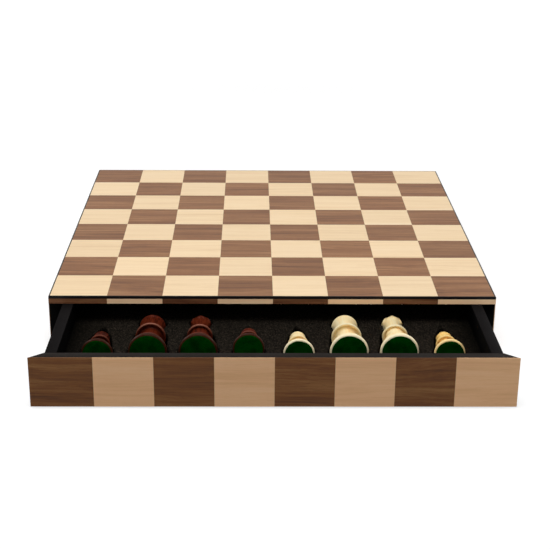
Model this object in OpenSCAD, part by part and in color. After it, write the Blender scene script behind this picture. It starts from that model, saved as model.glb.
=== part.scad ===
// Chess box: a flat veneered board that is the lid of a shallow case, with one drawer that
// takes the case's whole width and depth. The drawer holds a foam insert with a pocket for
// each of the 32 chessmen. Millimetres, +X right, +Y back, +Z up. The origin is on the felt
// under the middle of the case, and the drawer stands pulled out by open_rest.

/* [Board] */
// Side of one playing square
square = 50; // [46:0.5:60]
// Veneer and edging outside the grid, at the left and right
side_margin = 2.8; // [2:0.1:6]
// Veneer and edging outside the grid, at the front and back
end_margin = 2; // [2:0.1:6]
// Thickness of a veneer leaf
veneer_t = 0.6; // [0.5:0.1:1]
// Thickness of the board's core under the veneer
core_t = 6.6; // [5:0.1:10]
// Width of the black edging, seen from above
trim_w = 1.4; // [1:0.1:1.9]
// Height of the black edging
trim_h = 2.5; // [1.5:0.1:3.5]

/* [Case] */
// Thickness of a side panel, veneer included
side_t = 12; // [9:0.5:16]
// Thickness of the back panel, veneer included
back_t = 12; // [9:0.5:16]
// Thickness of the bottom panel
bottom_t = 3.5; // [2.5:0.1:4]
// Thickness of the felt under the case
felt_t = 1.2; // [0.8:0.1:2]
// Distance of that felt from the case's edges
felt_inset = 8; // [4:1:20]

/* [Drawer] */
// How far the drawer stands open
open_rest = 115.2; // [0:0.1:200]
// Thickness of the drawer's front, veneer included
front_t = 10; // [8:0.5:14]
// Thickness of a drawer side
drawer_side_t = 10; // [7:0.5:12]
// Thickness of the drawer's back
drawer_back_t = 8; // [6:0.5:12]
// Thickness of the drawer's bottom
drawer_bottom_t = 2.5; // [2:0.1:3]
// Depth of the groove that holds the drawer's bottom
groove_d = 4; // [2:0.5:5]
// Height of the groove above the drawer side's lower edge
groove_z = 1.5; // [1:0.1:2]
// Depth of the stop blocks, front to back
stop_len = 10; // [6:1:20]
// Height of the stop blocks
stop_h = 4; // [3:0.5:5]
// Width of the stop blocks
stop_w = 9; // [5:0.5:10]
// Distance of the stop blocks from the case's front
stop_setback = 32; // [15:1:60]

/* [Foam] */
// Foam left under the pockets
foam_floor_t = 1.5; // [1:0.1:4]
// Depth of the pockets under all chessmen but the pawns
pocket_depth = 16.5; // [14:0.1:17]
// How much shallower a pawn's pocket is
pawn_rise = 1.6; // [0:0.1:3]
// Bare foam between the drawer's front and the first row
front_gap = 39; // [5:1:40]
// Bare foam behind the first row, where the kings lie
king_gap = 38; // [10:1:38]
// Bare foam between two of the other rows
row_gap = 18; // [10:1:18]
// Bare foam between a drawer side and the outer column
side_gap = 14; // [4:0.5:16]
// Room around a chessman in its pocket
pocket_gap = 1.2; // [0.8:0.1:2]
// Room over the king when the drawer is closed
head_room = 1.8; // [1:0.1:4]
// Angle at which a king or queen lies head down
tall_lie = 3; // [0:0.5:4]
// Angle at which a bishop, knight or rook lies head down
short_lie = 1; // [0:0.5:4]
// Angle at which a pawn lies head down
low_lie = 3; // [0:0.5:4]
// Angle at which one dark pawn lies, which sits as high as the king
high_lie = 6; // [0:0.5:6]
// Length of the pointed end of a pawn's pocket, where its row leaves room for it
point_len = 24; // [0:1:24]
// Foam between that point and what is behind it
point_wall = 3; // [2:0.5:6]

/* [Chessmen] */
// Height of the king with its cross
king_h = 76; // [70:1:80]
// Diameter of the king's foot
king_d = 33.8; // [30:0.2:34]
// Height of the queen
queen_h = 72; // [64:1:74]
// Diameter of the queen's foot
queen_d = 33.8; // [30:0.2:34]
// Height of a bishop
bishop_h = 62; // [56:1:66]
// Diameter of a bishop's foot
bishop_d = 31; // [28:0.2:33]
// Height of a knight
knight_h = 54; // [50:1:58]
// Diameter of a knight's foot
knight_d = 31; // [28:0.2:33]
// Height of a rook
rook_h = 46; // [42:1:50]
// Diameter of a rook's foot
rook_d = 30; // [28:0.2:32]
// Height of a pawn
pawn_h = 43; // [38:1:46]
// Diameter of a pawn's foot
pawn_d = 27.4; // [25:0.2:29]
// Thickness of the felt under a chessman
disc_t = 0.8; // [0.5:0.1:1.2]

/* [Clearances] */
// Gap between the drawer and the panels that guide it, at each side
run_gap = 0.5; // [0.3:0.1:1]
// Gap between the drawer and the board above it
top_gap = 0.4; // [0.3:0.1:1]
// Gap between the drawer's sides and the bottom panel they slide on
slide_gap = 0.3; // [0.2:0.1:0.5]
// Gap at the mitred ends of the closed drawer front
mitre_gap = 0.4; // [0.3:0.1:0.8]
// Gap behind the closed drawer
rear_gap = 3; // [1:0.5:6]
// Gap between the foam or a chessman and what holds it
seat_gap = 0.2; // [0.1:0.05:0.3]

/* [Hidden] */
$fn = 64;
grid = 8;
rows = 4;
eps = 0.01;

case_w = grid * square + 2 * side_margin;
case_d = grid * square + 2 * end_margin;
half_w = case_w / 2;
half_d = case_d / 2;

floor_z = felt_t + bottom_t;                // what the drawer slides on
drawer_z = floor_z + slide_gap;
tray_z = drawer_z + groove_z + drawer_bottom_t;
pocket_z = tray_z + foam_floor_t;           // what the feet lie on
foam_top = pocket_z + pocket_depth;
widest = max(king_d, queen_d, bishop_d, knight_d, rook_d, pawn_d);
board_z = pocket_z + seat_gap + widest + head_room;     // underside of the board
total_h = board_z + core_t + veneer_t;      // height from the table to the playing surface
edging_z = total_h - trim_h;                // underside of the black edging
inner_x = half_w - side_t;                  // inside of the case
bay_back = half_d - back_t;

drawer_len = case_d - back_t - rear_gap;
drawer_top = board_z - top_gap;
drawer_x = inner_x - run_gap;               // outside of the drawer's sides
tray_x = drawer_x - drawer_side_t;          // inside of the drawer's sides
face_y = -half_d - open_rest;               // front face of the drawer
tray_front = face_y + front_t;
drawer_back = face_y + drawer_len;
tray_back = drawer_back - drawer_back_t;
column_pitch = (2 * (tray_x - side_gap) - pawn_d) / (grid - 1);

row_h = [king_h, bishop_h, knight_h, rook_h];
disc_ratio = 0.91;                          // felt radius over foot radius
cross_ratio = 0.12;                         // height of the king's cross over the king's

// The front edge of the feet in a row, counted from the front.
function row_y(row) = row == 0 ? tray_front + front_gap
    : row_y(row - 1) + row_h[row - 1] + (row == 1 ? king_gap : row_gap);

// The middle of a column, counted from the left.
function column_x(column) = (column - (grid - 1) / 2) * column_pitch;

wood_maple = "#f0d5ab";
wood_walnut = "#8b6a55";
paint_black = "#242424";
foam_grey = "#2e2c29";
piece_dark = "#6b2c1d";
piece_light = "#edcf9a";
felt_green = "#12502a";

// ---- Board ------------------------------------------------------------------------------

// A box from one corner to the other.
module block(low, high) {
    translate(low) cube(high - low);
}

// The line between two squares, or the outer edge past the first and last one.
function line_at(index, edge) =
    index == 0 ? -edge : index == grid ? edge : (index - grid / 2) * square;

// The squares of one colour. The outer ones reach the black edging.
module squares(parity) {
    for (i = [0:grid - 1], j = [0:grid - 1])
        if ((i + j) % 2 == parity)
            block([line_at(i, half_w - trim_w), line_at(j, half_d - trim_w), total_h - veneer_t],
                  [line_at(i + 1, half_w - trim_w), line_at(j + 1, half_d - trim_w), total_h]);
}

// Every second column of a veneered edge that faces -Y, standing from z0 to z1.
module edge_columns(parity, edge, face, z0, z1) {
    for (i = [0:grid - 1])
        if (i % 2 == parity)
            block([line_at(i, edge), face, z0], [line_at(i + 1, edge), face + veneer_t, z1]);
}

module top_core() {
    color(paint_black) {
        block([-half_w + veneer_t, -half_d + veneer_t, board_z],
              [half_w - veneer_t, half_d - veneer_t, edging_z]);
        block([-half_w + trim_w, -half_d + trim_w, edging_z],
              [half_w - trim_w, half_d - trim_w, total_h - veneer_t]);
    }
}

module board_light_squares() {
    color(wood_maple) squares(0);
}

module board_dark_squares() {
    color(wood_walnut) squares(1);
}

// Four mitred lengths round the top edge, with their outer arris eased.
module board_edging() {
    ease = trim_h / 5;
    color(paint_black) for (side = [0:3]) intersection() {
        difference() {
            union() {
                block([-half_w, -half_d, edging_z], [half_w, half_d, total_h - ease]);
                block([-half_w + ease, -half_d + ease, edging_z], [half_w - ease, half_d - ease, total_h]);
            }
            block([-half_w + trim_w, -half_d + trim_w, edging_z - 1],
                  [half_w - trim_w, half_d - trim_w, total_h + 1]);
        }
        translate([0, 0, edging_z - 1]) linear_extrude(trim_h + 2) edging_sector(side);
    }
}

// The quarter of the plan that one length of edging lies in, cut at 45 degrees at the corners.
module edging_sector(side) {
    long = side % 2 == 0 ? half_w : half_d;
    far = side % 2 == 0 ? half_d : half_w;
    cut = 2 * trim_w;
    rotate(90 * side) polygon([[-long, -far], [long, -far], [long - cut, cut - far], [cut - long, cut - far]]);
}

module rail_light_strips() {
    color(wood_maple) edge_columns(1, half_w, -half_d, board_z, edging_z);
}

module rail_dark_strips() {
    color(wood_walnut) edge_columns(0, half_w, -half_d, board_z, edging_z);
}

// ---- Case -------------------------------------------------------------------------------

// The outline that the drawer's front has in plan, with its face at y and its ends mitred.
module front_plan(y, thick) {
    back_x = half_w - side_t * thick / front_t;
    polygon([[-half_w, y], [half_w, y], [back_x, y + thick], [-back_x, y + thick]]);
}

// The room that the case leaves for the closed drawer front.
module front_room() {
    translate([0, 0, -eps]) linear_extrude(board_z + eps)
        polygon([[-half_w - side_t, -half_d - front_t + mitre_gap],
                 [half_w + side_t, -half_d - front_t + mitre_gap],
                 [inner_x, -half_d + front_t + mitre_gap],
                 [-inner_x, -half_d + front_t + mitre_gap]]);
}

// A side panel, drawn at the right and mirrored for the left.
module side_panel() {
    color(paint_black) difference() {
        block([inner_x, -half_d, felt_t], [half_w - veneer_t, half_d - veneer_t, board_z]);
        front_room();
    }
}

module right_side_panel() {
    side_panel();
}

module left_side_panel() {
    mirror([1, 0, 0]) side_panel();
}

module back_panel() {
    color(paint_black)
        block([-inner_x, bay_back, felt_t], [inner_x, half_d - veneer_t, board_z]);
}

module bottom_panel() {
    color(paint_black)
        block([-inner_x, -half_d + front_t + mitre_gap, felt_t], [inner_x, bay_back, floor_z]);
}

module base_felt() {
    color(felt_green)
        block([-half_w + felt_inset, -half_d + front_t + felt_inset, 0],
              [half_w - felt_inset, half_d - felt_inset, felt_t]);
}

// Two blocks under the board that catch the drawer's back.
module stop_blocks() {
    outer = tray_x - run_gap;
    color(paint_black) for (side = [-1, 1])
        translate([side * (outer - stop_w / 2), -half_d + stop_setback + stop_len / 2, board_z - stop_h / 2])
            cube([stop_w, stop_len, stop_h], center = true);
}

// Every second column of veneer on the right side, from the edging to the lower edge.
module side_columns(parity) {
    difference() {
        for (j = [0:grid - 1])
            if (j % 2 == parity)
                block([half_w - veneer_t, line_at(j, half_d - veneer_t), felt_t],
                      [half_w, line_at(j + 1, half_d - veneer_t), edging_z]);
        front_room();
    }
}

module right_light_veneers() {
    color(wood_maple) side_columns(0);
}

module right_dark_veneers() {
    color(wood_walnut) side_columns(1);
}

module left_light_veneers() {
    color(wood_maple) mirror([1, 0, 0]) side_columns(1);
}

module left_dark_veneers() {
    color(wood_walnut) mirror([1, 0, 0]) side_columns(0);
}

module back_light_veneers() {
    color(wood_maple) edge_columns(0, half_w, half_d - veneer_t, felt_t, edging_z);
}

module back_dark_veneers() {
    color(wood_walnut) edge_columns(1, half_w, half_d - veneer_t, felt_t, edging_z);
}

// ---- Drawer -----------------------------------------------------------------------------

// The groove for the drawer's bottom, as a plate that reaches into the drawer's four walls.
module bottom_plate() {
    block([-tray_x - groove_d, tray_front - groove_d, drawer_z + groove_z],
          [tray_x + groove_d, tray_back + groove_d, tray_z]);
}

// The drawer's front behind its veneer, with mitred ends.
module drawer_front() {
    color(paint_black) difference() {
        translate([0, 0, felt_t]) linear_extrude(drawer_top - felt_t) difference() {
            front_plan(face_y, front_t);
            translate([-half_w, face_y - eps]) square([case_w, veneer_t + eps]);
        }
        bottom_plate();
    }
}

// Every second leaf of veneer on the drawer's front.
module front_columns(parity) {
    intersection() {
        translate([0, 0, felt_t]) linear_extrude(drawer_top - felt_t) front_plan(face_y, front_t);
        edge_columns(parity, half_w, face_y, felt_t, drawer_top);
    }
}

module front_light_veneers() {
    color(wood_maple) front_columns(1);
}

module front_dark_veneers() {
    color(wood_walnut) front_columns(0);
}

// A drawer side, drawn at the right and mirrored for the left.
module drawer_side() {
    color(paint_black) difference() {
        block([tray_x, tray_front, drawer_z], [drawer_x, drawer_back, drawer_top]);
        bottom_plate();
    }
}

module drawer_right_side() {
    drawer_side();
}

module drawer_left_side() {
    mirror([1, 0, 0]) drawer_side();
}

module drawer_back() {
    color(paint_black) difference() {
        block([-tray_x, tray_back, drawer_z], [tray_x, drawer_back, drawer_top]);
        bottom_plate();
    }
}

module drawer_bottom() {
    color(paint_black) bottom_plate();
}

// ---- Turned shapes ----------------------------------------------------------------------

// Points along an ellipse round (cx, cz), from angle a0 to a1.
function arc(cx, cz, rx, rz, a0, a1, steps) =
    [for (i = [0:steps]) let (a = a0 + (a1 - a0) * i / steps) [cx + rx * cos(a), cz + rz * sin(a)]];

// The whole set has its feet and collars on one pattern.
foot_ratio = 0.3;       // height of the foot's ring over the foot's radius
bell_ratio = 0.78;      // radius of the bell where it turns hollow, over the foot's radius
stem_ratio = 0.8;       // height where the hollow ends, over the collar's height
collar_t = 2.2;
bead_t = 1.8;
small_bead_t = 1.4;

// Height where the bell over a foot of radius r turns hollow, under a collar at height z.
function bell_end(r, z) = foot_ratio * r + 0.4 * (stem_ratio * z - foot_ratio * r);

// The foot: a flat base, a rounded ring, a bell, and a hollow sweep up to the stem.
function foot(r, stem, z) = let (t = foot_ratio * r, bend = bell_end(r, z), top = stem_ratio * z) concat(
    [[0, 0]],
    arc(0.92 * r, t / 2, 0.08 * r, t / 2, -90, 80, 5),
    arc((2 * bell_ratio - 0.92) * r, t, 2 * (0.92 - bell_ratio) * r, bend - t, 0, 60, 4),
    arc(bell_ratio * r, top, bell_ratio * r - stem, top - bend, -90, -176, 6),
    [[stem + 0.04 * r, z - 1.5 * collar_t]]
);

// A rounded ring of radius r round the stem, from height z to z + t.
function ring(r, z, t) = arc(r - t / 2, z + t / 2, t / 2, t / 2, -90, 90, 4);

// A collar of radius r that ends at height z, and two beads on it.
function collars(r, z, bead, small_bead) = concat(
    ring(r, z - collar_t, collar_t), ring(bead * r, z, bead_t), ring(small_bead * r, z + bead_t, small_bead_t)
);

// Height where the head starts, over a collar at height z.
function head_base(z) = z + bead_t + small_bead_t;

// Where each kind touches its pocket's floor besides the foot: [radius, height] of its collar
// and of the widest place of its head.
king_collar = [0.8 * king_d / 2, 0.5 * king_h];
king_head = [0.7 * king_d / 2, 0.82 * king_h];
queen_collar = [0.68 * queen_d / 2, 0.56 * queen_h];
queen_head = [0.575 * queen_d / 2, 0.94 * queen_h];
bishop_collar = [0.64 * bishop_d / 2, 0.58 * bishop_h];
bishop_head = [0.47 * bishop_d / 2, 0.74 * bishop_h];
knight_collar = [0.72 * knight_d / 2, 0.3 * knight_h];
knight_head = [0.4 * knight_d / 2, 0.9 * knight_h];
knight_nose = 0.43 * (knight_h - knight_collar[1]);
rook_collar = [0.68 * rook_d / 2, 0.56 * rook_h];
rook_head = [0.72 * rook_d / 2, 0.97 * rook_h];
pawn_collar = [0.64 * pawn_d / 2, 0.6 * pawn_h];
pawn_head = [0.55 * pawn_d / 2, 0.82 * pawn_h];

module king_piece() {
    r = king_d / 2;
    collar = king_collar[0];
    z = king_collar[1];
    crown = king_head[0];
    rim = king_head[1];
    base = head_base(z);
    waist = 0.5 * r;
    lip = 0.8;
    top = king_h * (1 - cross_ratio);
    arm = cross_ratio * king_h / 3;
    rotate_extrude() polygon(concat(
        foot(r, 0.43 * r, z),
        collars(collar, z, 0.8, 0.68),
        arc(crown, base, crown - waist, rim - lip - base, 180, 100, 5),
        [[crown, rim - lip], [crown, rim], [0.9 * crown, rim + lip]],
        arc(0, rim + lip, 0.78 * crown, top - rim - lip, 0, 75, 5),
        [[0, top]]
    ));
    translate([0, 0, top - lip]) {
        translate([-arm / 2, -arm / 2, 0]) cube([arm, arm, king_h - top + lip]);
        translate([-arm * 1.4, -arm / 2, lip + arm]) cube([arm * 2.8, arm, arm]);
    }
}

module queen_piece() {
    r = queen_d / 2;
    collar = queen_collar[0];
    z = queen_collar[1];
    crown = queen_head[0];
    rim = queen_head[1];
    base = head_base(z);
    waist = 0.34 * r;
    lip = 0.6;
    cup = 1.2;
    bead = 2;
    points = 8;
    scallop = 2.3;
    difference() {
        rotate_extrude() polygon(concat(
            foot(r, 0.46 * r, z),
            collars(collar, z, 0.74, 0.58),
            arc(crown + lip, base, crown + lip - waist, rim - lip - base, 180, 105, 5),
            [[crown, rim - lip], [crown - 2 * lip, rim], [0.62 * crown, rim - cup]],
            arc(0, rim - cup, 0.6 * crown, 0.34 * (queen_h - rim) + cup, 0, 60, 3),
            arc(0, queen_h - bead, bead, bead, -50, 80, 4),
            [[0, queen_h]]
        ));
        for (i = [0:points - 1]) rotate([0, 0, i * 360 / points])
            translate([0.7 * crown, 0, rim]) rotate([0, 90, 0])
                cylinder(r = scallop, h = crown, $fn = 24);
    }
}

module bishop_piece() {
    r = bishop_d / 2;
    collar = bishop_collar[0];
    z = bishop_collar[1];
    mitre = bishop_head[0];
    wide = bishop_head[1];
    base = head_base(z);
    bead = 2;
    slot_w = 1.1;
    tip = bishop_h - 1.5 * bead;
    difference() {
        rotate_extrude() polygon(concat(
            foot(r, 0.45 * r, z),
            collars(collar, z, 0.78, 0.6),
            arc(0, wide, mitre, wide - base, -62, 0, 4),
            arc(0, wide, mitre, tip - wide, 12, 76, 6),
            arc(0, bishop_h - bead, bead, bead, -55, 80, 4),
            [[0, bishop_h]]
        ));
        translate([mitre * 0.25, -mitre, wide + 0.2 * mitre]) rotate([0, -35, 0])
            cube([2 * mitre, 2 * mitre, slot_w]);
    }
}

// A cubic curve between two points, without its last point.
function curve(a, b, c, d, steps) =
    [for (i = [0:steps - 1]) let (t = i / steps, u = 1 - t)
        u * u * u * a + 3 * u * u * t * b + 3 * u * t * t * c + t * t * t * d];

// The side outline of the knight's head for a head that is 1 high, with its nose towards +X.
function horse_outline() = concat(
    curve([0.26, 0], [0.27, 0.12], [0.16, 0.2], [0.13, 0.3], 4),
    curve([0.13, 0.3], [0.12, 0.38], [0.2, 0.42], [0.3, 0.37], 4),
    curve([0.3, 0.37], [0.36, 0.33], [0.42, 0.36], [0.42, 0.42], 3),
    curve([0.42, 0.42], [0.43, 0.5], [0.36, 0.55], [0.28, 0.66], 4),
    curve([0.28, 0.66], [0.22, 0.76], [0.16, 0.84], [0.07, 0.87], 4),
    [[0.07, 0.87], [0.05, 1], [-0.03, 0.9]],
    curve([-0.07, 0.9], [-0.26, 0.82], [-0.37, 0.6], [-0.36, 0.4], 5),
    curve([-0.36, 0.4], [-0.35, 0.22], [-0.28, 0.1], [-0.27, 0], 4)
);

// The head is its side outline and its front outline, cut through each other.
module horse_head(tall, thick) {
    slim = 0.62 * thick;
    difference() {
        intersection() {
            rotate([90, 0, 0]) linear_extrude(2 * thick, center = true)
                polygon([for (p = horse_outline()) tall * p]);
            rotate([90, 0, 90]) linear_extrude(2 * tall, center = true)
                polygon([[-thick / 2, -1], [thick / 2, -1], [thick / 2, 0.45 * tall],
                         [slim / 2, 0.8 * tall], [slim / 2, tall + 1], [-slim / 2, tall + 1],
                         [-slim / 2, 0.8 * tall], [-thick / 2, 0.45 * tall]]);
        }
        for (side = [-1, 1]) {
            translate([0.14 * tall, side * thick / 2, 0.68 * tall]) sphere(r = 1.5, $fn = 24);
            for (lock = [0:3]) translate([-0.3 * tall, side * thick / 2, (0.22 + 0.15 * lock) * tall])
                rotate([0, -28, 0]) translate([-2, -0.5, 0]) cube([0.2 * tall, 1, 0.9]);
        }
        translate([0.29 * tall, -thick, 0.4 * tall]) rotate([0, -18, 0]) cube([0.2 * tall, 2 * thick, 0.7]);
    }
}

module knight_piece() {
    r = knight_d / 2;
    collar = knight_collar[0];
    z = knight_collar[1];
    rotate_extrude() polygon(concat(
        foot(r, 0.6 * r, z),
        ring(collar, z - collar_t, collar_t),
        [[0, z]]
    ));
    translate([0, 0, z - eps]) horse_head(knight_h - z + eps, 2 * knight_head[0]);
}

module rook_piece() {
    r = rook_d / 2;
    collar = rook_collar[0];
    z = rook_collar[1];
    tower = rook_head[0];
    wall = 0.26 * tower;
    well = 0.12 * rook_h;
    gap = 2.6;
    lip = 0.6;
    difference() {
        rotate_extrude() polygon(concat(
            foot(r, 0.52 * r, z),
            ring(collar, z - collar_t, collar_t),
            ring(0.84 * collar, z, bead_t),
            [[0.58 * r, z + bead_t + lip], [0.6 * r, 0.74 * rook_h]],
            [[tower, 0.8 * rook_h], [tower, rook_head[1]], [tower - lip, rook_h], [0, rook_h]]
        ));
        translate([0, 0, rook_h - well]) cylinder(r = tower - wall, h = 2 * well);
        for (i = [0:2]) rotate([0, 0, i * 60])
            translate([0, 0, rook_h]) cube([3 * tower, gap, 2 * well], center = true);
    }
}

module pawn_piece() {
    r = pawn_d / 2;
    collar = pawn_collar[0];
    z = pawn_collar[1];
    ball = pawn_head[0];
    rotate_extrude() polygon(concat(
        foot(r, 0.46 * r, z),
        ring(collar, z - collar_t, collar_t),
        ring(0.74 * collar, z, small_bead_t),
        arc(0, pawn_h - ball, ball, ball, -55, 80, 9),
        [[0, pawn_h]]
    ));
}

// ---- Chessmen in their places -----------------------------------------------------------

// The height over the base at which a foot of radius r touches the floor.
function foot_touch(r) = foot_ratio * r / 2;

// How far a ring at [radius, height] stays above the pocket's floor.
function lift(r, angle, at) = r - (at[1] - foot_touch(r)) * sin(angle) - at[0] * cos(angle);

dark_columns = 0;
light_columns = 4;
high_pawn = [dark_columns + 3, 0];

// Whether a column holds pawns, which are the outer two of each colour's four.
function of_pawns(column) = column % 4 == 0 || column % 4 == 3;

// How much higher than the king the chessman at a column and a row lies.
function perch(column, row) = [column, row] == high_pawn ? widest - pawn_d
    : of_pawns(column) ? pawn_rise : 0;

// The angle at which the pawn at a column and a row lies.
function pawn_lie(column, row) = [column, row] == high_pawn ? high_lie : low_lie;

// Lays what stands on its foot down with its head to the back, at a column and a row.
module laid(column, row, r, angle) {
    low = foot_touch(r);
    translate([column_x(column), row_y(row) + low, pocket_z + perch(column, row) + seat_gap])
        rotate([-angle, 0, 0]) translate([0, -low, r]) rotate([-90, 0, 0]) children();
}

// Every place of one kind and colour, as [column, row].
function pawn_places(first) = [for (row = [0:rows - 1], side = [0, 3]) [first + side, row]];
function pair_places(first, row) = [[first + 1, row], [first + 2, row]];

module kings(first) {
    laid(first + 1, 0, king_d / 2, tall_lie) king_piece();
}

module queens(first) {
    laid(first + 2, 0, queen_d / 2, tall_lie) queen_piece();
}

module bishops(first) {
    for (p = pair_places(first, 1)) laid(p[0], p[1], bishop_d / 2, short_lie) bishop_piece();
}

module knights(first) {
    for (p = pair_places(first, 2)) laid(p[0], p[1], knight_d / 2, short_lie) knight_piece();
}

module rooks(first) {
    for (p = pair_places(first, 3)) laid(p[0], p[1], rook_d / 2, short_lie) rook_piece();
}

module pawns(first) {
    for (p = pawn_places(first)) laid(p[0], p[1], pawn_d / 2, pawn_lie(p[0], p[1])) pawn_piece();
}

// A felt disc under a foot of radius r.
module disc(column, row, r, angle) {
    laid(column, row, r, angle) translate([0, 0, -disc_t]) cylinder(r = disc_ratio * r, h = disc_t);
}

// The felt discs of one colour.
module piece_felts(first) {
    color(felt_green) {
        disc(first + 1, 0, king_d / 2, tall_lie);
        disc(first + 2, 0, queen_d / 2, tall_lie);
        for (p = pair_places(first, 1)) disc(p[0], p[1], bishop_d / 2, short_lie);
        for (p = pair_places(first, 2)) disc(p[0], p[1], knight_d / 2, short_lie);
        for (p = pair_places(first, 3)) disc(p[0], p[1], rook_d / 2, short_lie);
        for (p = pawn_places(first)) disc(p[0], p[1], pawn_d / 2, pawn_lie(p[0], p[1]));
    }
}

module dark_king() {
    color(piece_dark) kings(dark_columns);
}

module dark_queen() {
    color(piece_dark) queens(dark_columns);
}

module dark_bishops() {
    color(piece_dark) bishops(dark_columns);
}

module dark_knights() {
    color(piece_dark) knights(dark_columns);
}

module dark_rooks() {
    color(piece_dark) rooks(dark_columns);
}

module dark_pawns() {
    color(piece_dark) pawns(dark_columns);
}

module dark_piece_felts() {
    piece_felts(dark_columns);
}

module light_king() {
    color(piece_light) kings(light_columns);
}

module light_queen() {
    color(piece_light) queens(light_columns);
}

module light_bishops() {
    color(piece_light) bishops(light_columns);
}

module light_knights() {
    color(piece_light) knights(light_columns);
}

module light_rooks() {
    color(piece_light) rooks(light_columns);
}

module light_pawns() {
    color(piece_light) pawns(light_columns);
}

module light_piece_felts() {
    piece_felts(light_columns);
}

// ---- Foam -------------------------------------------------------------------------------

// An outline that is the same on both sides of the Y axis, from the points of its right side.
module both_sides(half) {
    polygon(concat(half, [for (i = [len(half) - 1:-1:0]) [-half[i][0], half[i][1]]]));
}

// Where a row's pockets have to end: at the pockets of the next row, or at the drawer's back.
function row_end(row) = row == rows - 1 ? tray_back : row_y(row + 1) - disc_t - pocket_gap;

// Length of the pointed end of a pawn's pocket, in a row where the pawn lies at an angle.
function point_at(row, angle) = min(point_len,
    row_end(row) - point_wall - row_y(row) - pawn_h - pawn_d / 2 * sin(angle) - pocket_gap);

// A pocket in the foam. It follows the chessman's outline: a deep well for the foot and its bell,
// then a shelf for collar and head. wide is the head's half width, and the end is straight with
// corners of radius corner, or runs out into a point of length point.
module pocket(column, row, tall, r, angle, collar, head, wide, corner, point = 0) {
    shelf = min(lift(r, angle, collar), lift(r, angle, head));
    lean = r * sin(angle);
    waist = max(collar[0], wide) + pocket_gap;
    tip = wide + pocket_gap;
    bend = min(corner + pocket_gap, tip);
    flat = tip - bend;
    play = disc_t + lean + pocket_gap;
    ring_end = foot_ratio * r + play;
    well_end = bell_end(r, collar[1]) + play;
    end = tall + play;
    full = r + pocket_gap;
    bell = bell_ratio * r + 2 * pocket_gap;
    translate([column_x(column), row_y(row) - disc_t, pocket_z + perch(column, row)]) {
        linear_extrude(foam_top)
            both_sides([[full, -pocket_gap], [full, ring_end], [bell, well_end]]);
        translate([0, 0, shelf]) linear_extrude(foam_top) {
            both_sides([[full, 0], [full, ring_end], [max(bell, waist), well_end],
                        [waist, collar[1] + play], [tip, end - bend]]);
            for (side = [-1, 1]) translate([side * flat, end - bend]) circle(bend);
            if (flat > 0) translate([-flat, 0]) square([2 * flat, end]);
            if (point > 0) polygon([[-tip, end - bend], [tip, end - bend], [0, end + point]]);
        }
    }
}

// The pockets of one colour's sixteen chessmen.
module pockets(first) {
    pocket(first + 1, 0, king_h, king_d / 2, tall_lie, king_collar, king_head, king_head[0], king_head[0]);
    pocket(first + 2, 0, queen_h, queen_d / 2, tall_lie, queen_collar, queen_head,
           queen_head[0], queen_head[0] / 2);
    for (p = pair_places(first, 1))
        pocket(p[0], p[1], bishop_h, bishop_d / 2, short_lie, bishop_collar, bishop_head,
               bishop_head[0], bishop_head[0]);
    for (p = pair_places(first, 2))
        pocket(p[0], p[1], knight_h, knight_d / 2, short_lie, knight_collar, knight_head,
               knight_nose, knight_nose);
    for (p = pair_places(first, 3))
        pocket(p[0], p[1], rook_h, rook_d / 2, short_lie, rook_collar, rook_head,
               rook_head[0], rook_head[0] / 5);
    for (p = pawn_places(first))
        pocket(p[0], p[1], pawn_h, pawn_d / 2, pawn_lie(p[0], p[1]), pawn_collar, pawn_head,
               pawn_head[0], pawn_head[0], point_at(p[1], pawn_lie(p[0], p[1])));
}

module foam_insert() {
    color(foam_grey) difference() {
        block([-tray_x + seat_gap, tray_front + seat_gap, tray_z],
              [tray_x - seat_gap, tray_back - seat_gap, foam_top]);
        pockets(dark_columns);
        pockets(light_columns);
    }
}

top_core();
board_light_squares();
board_dark_squares();
board_edging();
rail_light_strips();
rail_dark_strips();
left_side_panel();
right_side_panel();
back_panel();
bottom_panel();
base_felt();
stop_blocks();
left_light_veneers();
left_dark_veneers();
right_light_veneers();
right_dark_veneers();
back_light_veneers();
back_dark_veneers();
drawer_front();
front_light_veneers();
front_dark_veneers();
drawer_left_side();
drawer_right_side();
drawer_back();
drawer_bottom();
foam_insert();
dark_king();
dark_queen();
dark_bishops();
dark_knights();
dark_rooks();
dark_pawns();
dark_piece_felts();
light_king();
light_queen();
light_bishops();
light_knights();
light_rooks();
light_pawns();
light_piece_felts();
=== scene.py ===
"""Looks of a chess box: a veneered board over a shallow case, its drawer, and 32 chessmen in foam.

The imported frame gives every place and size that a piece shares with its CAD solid. Lengths are in
metres, +X is right, +Y is back and +Z is up, and the drawer's front faces -Y. The finishes count
in millimetres.
"""

import logging
import math
from dataclasses import dataclass, field
from enum import Enum
from functools import reduce
from typing import Any, ClassVar

import bmesh
import bpy
import numpy as np
from mathutils import Matrix, Vector


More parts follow.
